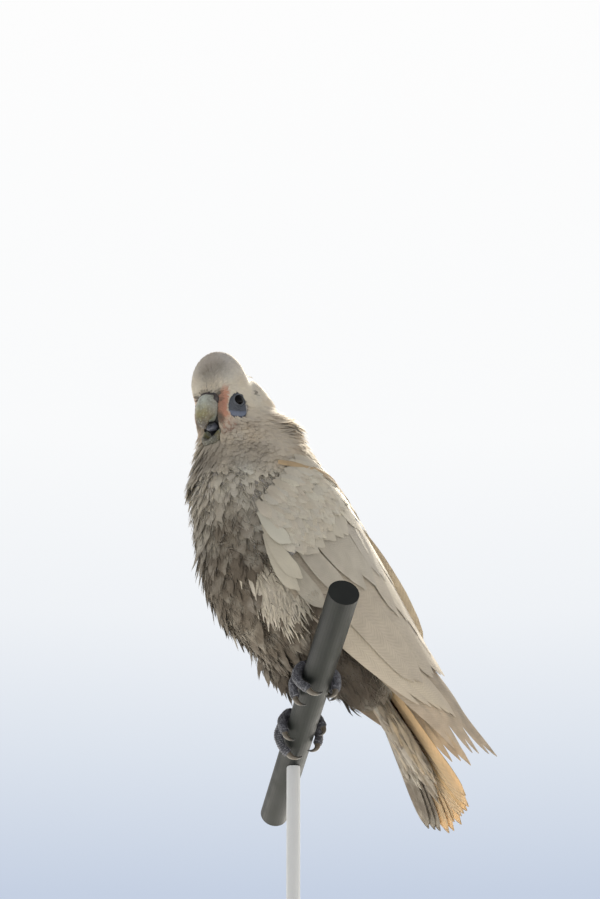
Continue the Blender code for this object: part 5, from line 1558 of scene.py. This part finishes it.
class CorellaLooks(bpy.types.PropertyGroup):
    """Colours of the bird, its cable and its stand."""
    clean: colour_property("Clean feather", "White of clean wing feathers", "#DFDCCE")
    shaded: colour_property("Grey feather", "Cooler white of crown and worn feathers", "#CDCACA")
    # The feathers' own yellow wash; on the mantle feathers and in part on the tail it is a painted glow of
    # light shining through them
    yellow: colour_property("Yellow feather", "Yellow of the under side of tail and wing", "#E5B562")
    # Brown of soiled feathers, also used as painted shade: on the darker lower body, wing rows and far tail
    # feathers, and by half on the bill's sides
    brown_stain_and_shade: colour_property("Stained feather", "Grey brown of the soiled breast", "#746A5D")
    # Dark brown round legs and vent; the dark value also mixes it in as painted shade under the bill and
    # along the feathers' edge at the bill's root, and the cere takes it too
    vent: colour_property("Vent stain", "Dark brown stain round legs and vent", "#4A4139")
    lores: colour_property("Lores", "Salmon feathers between bill and eye", "#C98B72")
    # painted shade: the brown that feathers darken to at their roots and along their barbs, and that blotches
    # the skin under them
    gap: colour_property("Feather gap", "Brown depth between feathers", "#6B6050")
    eye_skin: colour_property("Eye skin", "Blue grey bare skin round the eye", "#474C54")
    eye_pouch: colour_property("Eye pouch", "Paler pouch under the eye", "#687184")
    pupil: colour_property("Pupil", "Black of the pupil", "#08080A")
    iris: colour_property("Iris", "Near black iris", "#070606")
    bill_light: colour_property("Bill", "Pale grey green horn of the upper bill", "#B6BCB2")
    bill_yellow: colour_property("Lower bill", "Yellower horn near the tip", "#9A925F")
    bill_tip: colour_property("Bill tip", "Worn dark tip of the bill", "#433B33")
    bill_dirt: colour_property("Bill dirt", "Grey olive grime in the growth lines", "#4C4A40")
    mouth: colour_property("Mouth", "Slate of tongue and cere", "#3E4048")
    mouth_light: colour_property("Moist mouth", "Lighter patches of tongue and cere", "#6A6E7A")
    foot: colour_property("Foot", "Slate of the feet", "#33343A")
    foot_light: colour_property("Foot dust", "Dusty grain of the feet", "#6E6F76")
    claw: colour_property("Claw", "Near black horn of the claws", "#1B1A1C")
    cable: colour_property("Cable", "Weathered sheath", "#131614")
    cable_worn: colour_property("Wiped cable", "Sheath where it is wiped clean", "#0F1211")
    cable_dust: colour_property("Cable dust", "Chalky dust on the sheath", "#282C27")
    stand: colour_property("Stand", "Powder coat", "#B9BBBD")
    stand_shade: colour_property("Stand shade", "Thinner powder coat", "#A5A8AB")


class CorellaSizes(bpy.types.PropertyGroup):
    """Sizes of the coat."""
    body_spacing: FloatProperty(name="Body spacing", description="Distance between body feathers' roots",
                                default=0.0048, min=0.003, max=0.01, unit="LENGTH", precision=4)
    head_spacing: FloatProperty(name="Head spacing", description="Distance between head feathers' roots",
                                default=0.0016, min=0.0012, max=0.005, unit="LENGTH", precision=4)
    wisp_count: IntProperty(name="Wisps", description="Number of loose barbs on the body", default=5000,
                            min=0, max=20000)
    see_through: FloatProperty(name="See-through", description="Share of light that passes a body feather",
                               default=0.36, min=0.0, max=0.6, subtype="FACTOR")
    vane_see_through: FloatProperty(name="Vane see-through", subtype="FACTOR", default=0.34, min=0.0, max=0.8,
                                    description="Share of light that passes a flight feather")


# --- operators ----------------------------------------------------------------------------------
class CORELLA_OT_skin(bpy.types.Operator):
    """Makes the one skin of body, wing arms, eye surrounds, legs and toes"""
    bl_idname = "corella.skin"
    bl_label = "Skin"

    def execute(self, context):
        shapes = [body_skin(), wing_arm(1), wing_arm(-1), eye_surround(1), eye_surround(-1)]
        for shape in leg_tubes():
            shape["leg"] = 1.0
            shapes.append(shape)
        pairs = ["thigh", "eye_skin", "tarsus", "foot"] + [f"toe_{n}" for n in (1, 2, 3, 4)]
        flesh = ["trunk", "neck", "head", "undertail"]
        flesh += [f"{name}_{side_name}" for side_name in ("left", "right") for name in pairs]
        make_piece("skin", shapes, skin_material(context.scene.corella_looks), flesh)
        return {"FINISHED"}


class CORELLA_OT_coat(bpy.types.Operator):
    """Makes the feathers of body, head and crest"""
    bl_idname = "corella.coat"
    bl_label = "Coat"

    def execute(self, context):
        sizes, looks = context.scene.corella_sizes, context.scene.corella_looks
        material = feather_material("contour_feather_soft", looks, sizes.see_through, 0.80)
        make_coat("coat_body", body_feathers(sizes.body_spacing, 3), material)
        make_coat("coat_wisps", wisps(sizes.wisp_count, 11), material)
        make_piece("coat_flank", flank_tuft(17), material)
        close = feather_material("contour_feather_close", looks, sizes.see_through * 0.9, 0.80)
        make_coat("coat_head", head_feathers(sizes.head_spacing, 23), close)
        make_piece("coat_crest", [crest_feathers(29)], close, ["crest"])
        return {"FINISHED"}


class CORELLA_OT_wings(bpy.types.Operator):
    """Makes the feathers of both folded wings"""
    bl_idname = "corella.wings"
    bl_label = "Wings"

    def execute(self, context):
        sizes, looks = context.scene.corella_sizes, context.scene.corella_looks
        material = feather_material("vane_feather_smooth", looks, sizes.vane_see_through, 0.62)
        make_piece("wing_left", wing_feathers(31), material,
                   ["wing_left_coverts", "wing_left_flight"])
        make_piece("wing_right", [mirrored(s) for s in wing_feathers(37)], material,
                   ["wing_right_coverts", "wing_right_flight"])
        return {"FINISHED"}


class CORELLA_OT_tail(bpy.types.Operator):
    """Makes the tail's feathers and the coverts over and under it"""
    bl_idname = "corella.tail"
    bl_label = "Tail"

    def execute(self, context):
        sizes, looks = context.scene.corella_sizes, context.scene.corella_looks
        material = feather_material("tail_feather_smooth", looks, sizes.vane_see_through, 0.65)
        make_piece("tail_fan", tail_feathers(41), material, ["tail"])
        return {"FINISHED"}


class CORELLA_OT_face(bpy.types.Operator):
    """Makes bill, tongue, cere and eyes"""
    bl_idname = "corella.face"
    bl_label = "Face"

    def execute(self, context):
        looks = context.scene.corella_looks
        light, yellow = looks.bill_light, looks.bill_yellow
        upper = horn_material("bill_horn_weathered_and_shaded", looks, light, yellow, looks.bill_tip, 0.42)
        lower = horn_material("bill_horn_grimed_and_shaded", looks, light, yellow, looks.bill_dirt, 0.48)
        make_piece("upper_bill", [horn(UPPER_BILL, 0.85)], upper, ["bill_upper"])
        make_piece("lower_bill", [horn(LOWER_BILL, 0.75, hollow=0.60)], lower, ["bill_lower"])
        moist = soft_dark_material("tongue_moist", looks.mouth, looks.mouth_light, 0.32, 2.0)
        dry = soft_dark_material("cere_leathery", looks.vent, looks.foot, 0.60, 1.2)
        make_piece("tongue_lobe", [tongue_shape()], moist, ["tongue"])
        make_piece("cere_skin", [cere_shape()], dry, ["cere"])
        wet = eye_material(looks)
        make_piece("eyeball_left", [eyeball(1)], wet, ["eye_left"])
        make_piece("eyeball_right", [eyeball(-1)], wet, ["eye_right"])
        return {"FINISHED"}


class CORELLA_OT_feet(bpy.types.Operator):
    """Makes the granular scales of the feet and the claws"""
    bl_idname = "corella.feet"
    bl_label = "Feet"

    def execute(self, context):
        looks = context.scene.corella_looks
        make_piece("foot_scales", [foot_scales(43)], foot_material(looks))
        material = horn_material("claw_horn_polished", looks, looks.claw, looks.claw, looks.claw, 0.28)
        claws = [f"claw_{n}_{side_name}" for n in (1, 2, 3, 4) for side_name in ("left", "right")]
        make_piece("claws", claw_shapes(), material, claws)
        return {"FINISHED"}


class CORELLA_OT_mount(bpy.types.Operator):
    """Finishes the cut cable and the display stand"""
    bl_idname = "corella.mount"
    bl_label = "Cable and stand"

    def execute(self, context):
        looks = context.scene.corella_looks
        for name, material in (("perch_cable", cable_material(looks)), ("stand_base", paint_material(looks)),
                               ("stand_rod", None)):
            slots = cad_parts[name].data.materials
            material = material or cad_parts["stand_base"].data.materials[0]
            slots.clear()
            slots.append(material)
        return {"FINISHED"}


def stage_mesh(name, points, faces, material):
    """A flat piece of the studio, which isn't part of the model."""
    mesh = bpy.data.meshes.new(name)
    mesh.from_pydata(points, [], faces)
    mesh.materials.append(material)
    piece = bpy.data.objects.new(name, mesh)
    bpy.context.scene.collection.objects.link(piece)


def area_light(name, place, target, size, power, colour):
    """A square softbox that looks at a place."""
    light = bpy.data.lights.new(name, "AREA")
    light.shape = "SQUARE"
    light.size = size
    light.energy = power
    light.color = colour
    lamp = bpy.data.objects.new(name, light)
    lamp.location = place
    lamp.rotation_euler = (Vector(target) - Vector(place)).to_track_quat("-Z", "Y").to_euler()
    bpy.context.scene.collection.objects.link(lamp)


CAMERA_PLACE = (0.99392, -0.40157, 0.030)
CAMERA_WAY = (-0.87801, 0.35086, 0.32557)
CAMERA_LENS = 66.75             # mm, on a sensor 36 mm wide
SKY_FRONT = (0.86, -0.36, 0.10)  # the way to the sky's duller half, behind the camera
RIM_PLACE = (-1.2, 0.9, 1.5)
RIM_POWER = 150.0
MODEL_MIDDLE = (0.0, 0.0, 0.32)
FLOOR_REACH = 6


class CORELLA_OT_stage(bpy.types.Operator):
    """Makes the floor, the sky light, the rim lamp and the camera"""
    bl_idname = "corella.stage"
    bl_label = "Stage"

    def execute(self, context):
        made = new_material("studio_floor_matt")
        colour = mixed(made[1], speckle(made[1], 60.0), linear("#E9ECF0"), linear("#E4E8ED"))
        corners = [(x * FLOOR_REACH, y * FLOOR_REACH, 0) for x, y in ((-1, -1), (1, -1), (1, 1), (-1, 1))]
        stage_mesh("floor", corners, [(0, 1, 2, 3)], finished(made, colour, Roughness=0.9))
        world = bpy.data.worlds.new("studio_sky")
        context.scene.world = world
        world.use_nodes = True
        tree = world.node_tree
        way = node(tree, "ShaderNodeTexCoord").outputs["Generated"]
        split = node(tree, "ShaderNodeSeparateXYZ", {0: way})
        seen = node(tree, "ShaderNodeValToRGB", {"Fac": split.outputs[2]})
        ends = seen.color_ramp.elements
        ends[0].position, ends[0].color = 0.07, linear("#C5D0E2")
        ends[1].position, ends[1].color = 0.56, linear("#FDFDFD")
        for position, text in ((0.15, "#DCE3ED"), (0.23, "#EFF2F6"), (0.33, "#F9FAFB")):
            ends.new(position).color = linear(text)
        front = node(tree, "ShaderNodeVectorMath", {0: way, 1: SKY_FRONT},
                     operation="DOT_PRODUCT").outputs["Value"]
        light = node(tree, "ShaderNodeValToRGB", {"Fac": maths(tree, "MULTIPLY_ADD", front, 0.5, 0.5)})
        ends = light.color_ramp.elements
        ends[0].position, ends[0].color = 0.25, (1.0, 0.985, 0.955, 1)
        ends[1].position, ends[1].color = 0.80, (0.58, 0.58, 0.60, 1)
        path = node(tree, "ShaderNodeLightPath").outputs["Is Camera Ray"]
        colour = mixed(tree, path, light.outputs[0], seen.outputs[0])
        tree.links.new(colour, tree.nodes["Background"].inputs["Color"])
        tree.nodes["Background"].inputs["Strength"].default_value = 1.0
        area_light("rim", RIM_PLACE, MODEL_MIDDLE, 0.5, RIM_POWER, (1.0, 0.92, 0.78))
        camera = bpy.data.cameras.new("camera")
        camera.lens = CAMERA_LENS
        camera.sensor_width = 36.0
        camera.clip_start = 0.01
        seer = bpy.data.objects.new("camera", camera)
        seer.location = CAMERA_PLACE
        seer.rotation_euler = Vector(CAMERA_WAY).to_track_quat("-Z", "Y").to_euler()
        context.scene.collection.objects.link(seer)
        context.scene.camera = seer
        context.scene.view_settings.view_transform = "Standard"
        return {"FINISHED"}


class CORELLA_PT_panel(bpy.types.Panel):
    """Lists the corella's settings and pieces"""
    bl_idname = "CORELLA_PT_panel"
    bl_label = "Corella"
    bl_space_type = "VIEW_3D"
    bl_region_type = "UI"
    bl_category = "Corella"

    def draw(self, context):
        for group in (context.scene.corella_sizes, context.scene.corella_looks):
            for name in group.__annotations__:
                self.layout.prop(group, name)
        for step in STEPS:
            self.layout.operator(step.bl_idname)


STEPS = (CORELLA_OT_skin, CORELLA_OT_coat, CORELLA_OT_wings, CORELLA_OT_tail, CORELLA_OT_face,
         CORELLA_OT_feet, CORELLA_OT_mount, CORELLA_OT_stage)
CLASSES = (CorellaLooks, CorellaSizes, CORELLA_PT_panel) + STEPS


def register():
    """Adds the settings, the operators and the panel."""
    for kind in CLASSES:
        bpy.utils.register_class(kind)
    bpy.types.Scene.corella_looks = PointerProperty(type=CorellaLooks)
    bpy.types.Scene.corella_sizes = PointerProperty(type=CorellaSizes)


def unregister():
    """Takes them away again."""
    del bpy.types.Scene.corella_sizes
    del bpy.types.Scene.corella_looks
    for kind in reversed(CLASSES):
        bpy.utils.unregister_class(kind)


def main():
    """Makes every piece in order."""
    register()
    bpy.ops.corella.skin()
    bpy.ops.corella.coat()
    bpy.ops.corella.wings()
    bpy.ops.corella.tail()
    bpy.ops.corella.face()
    bpy.ops.corella.feet()
    bpy.ops.corella.mount()
    bpy.ops.corella.stage()


if __name__ == "__main__":
    main()
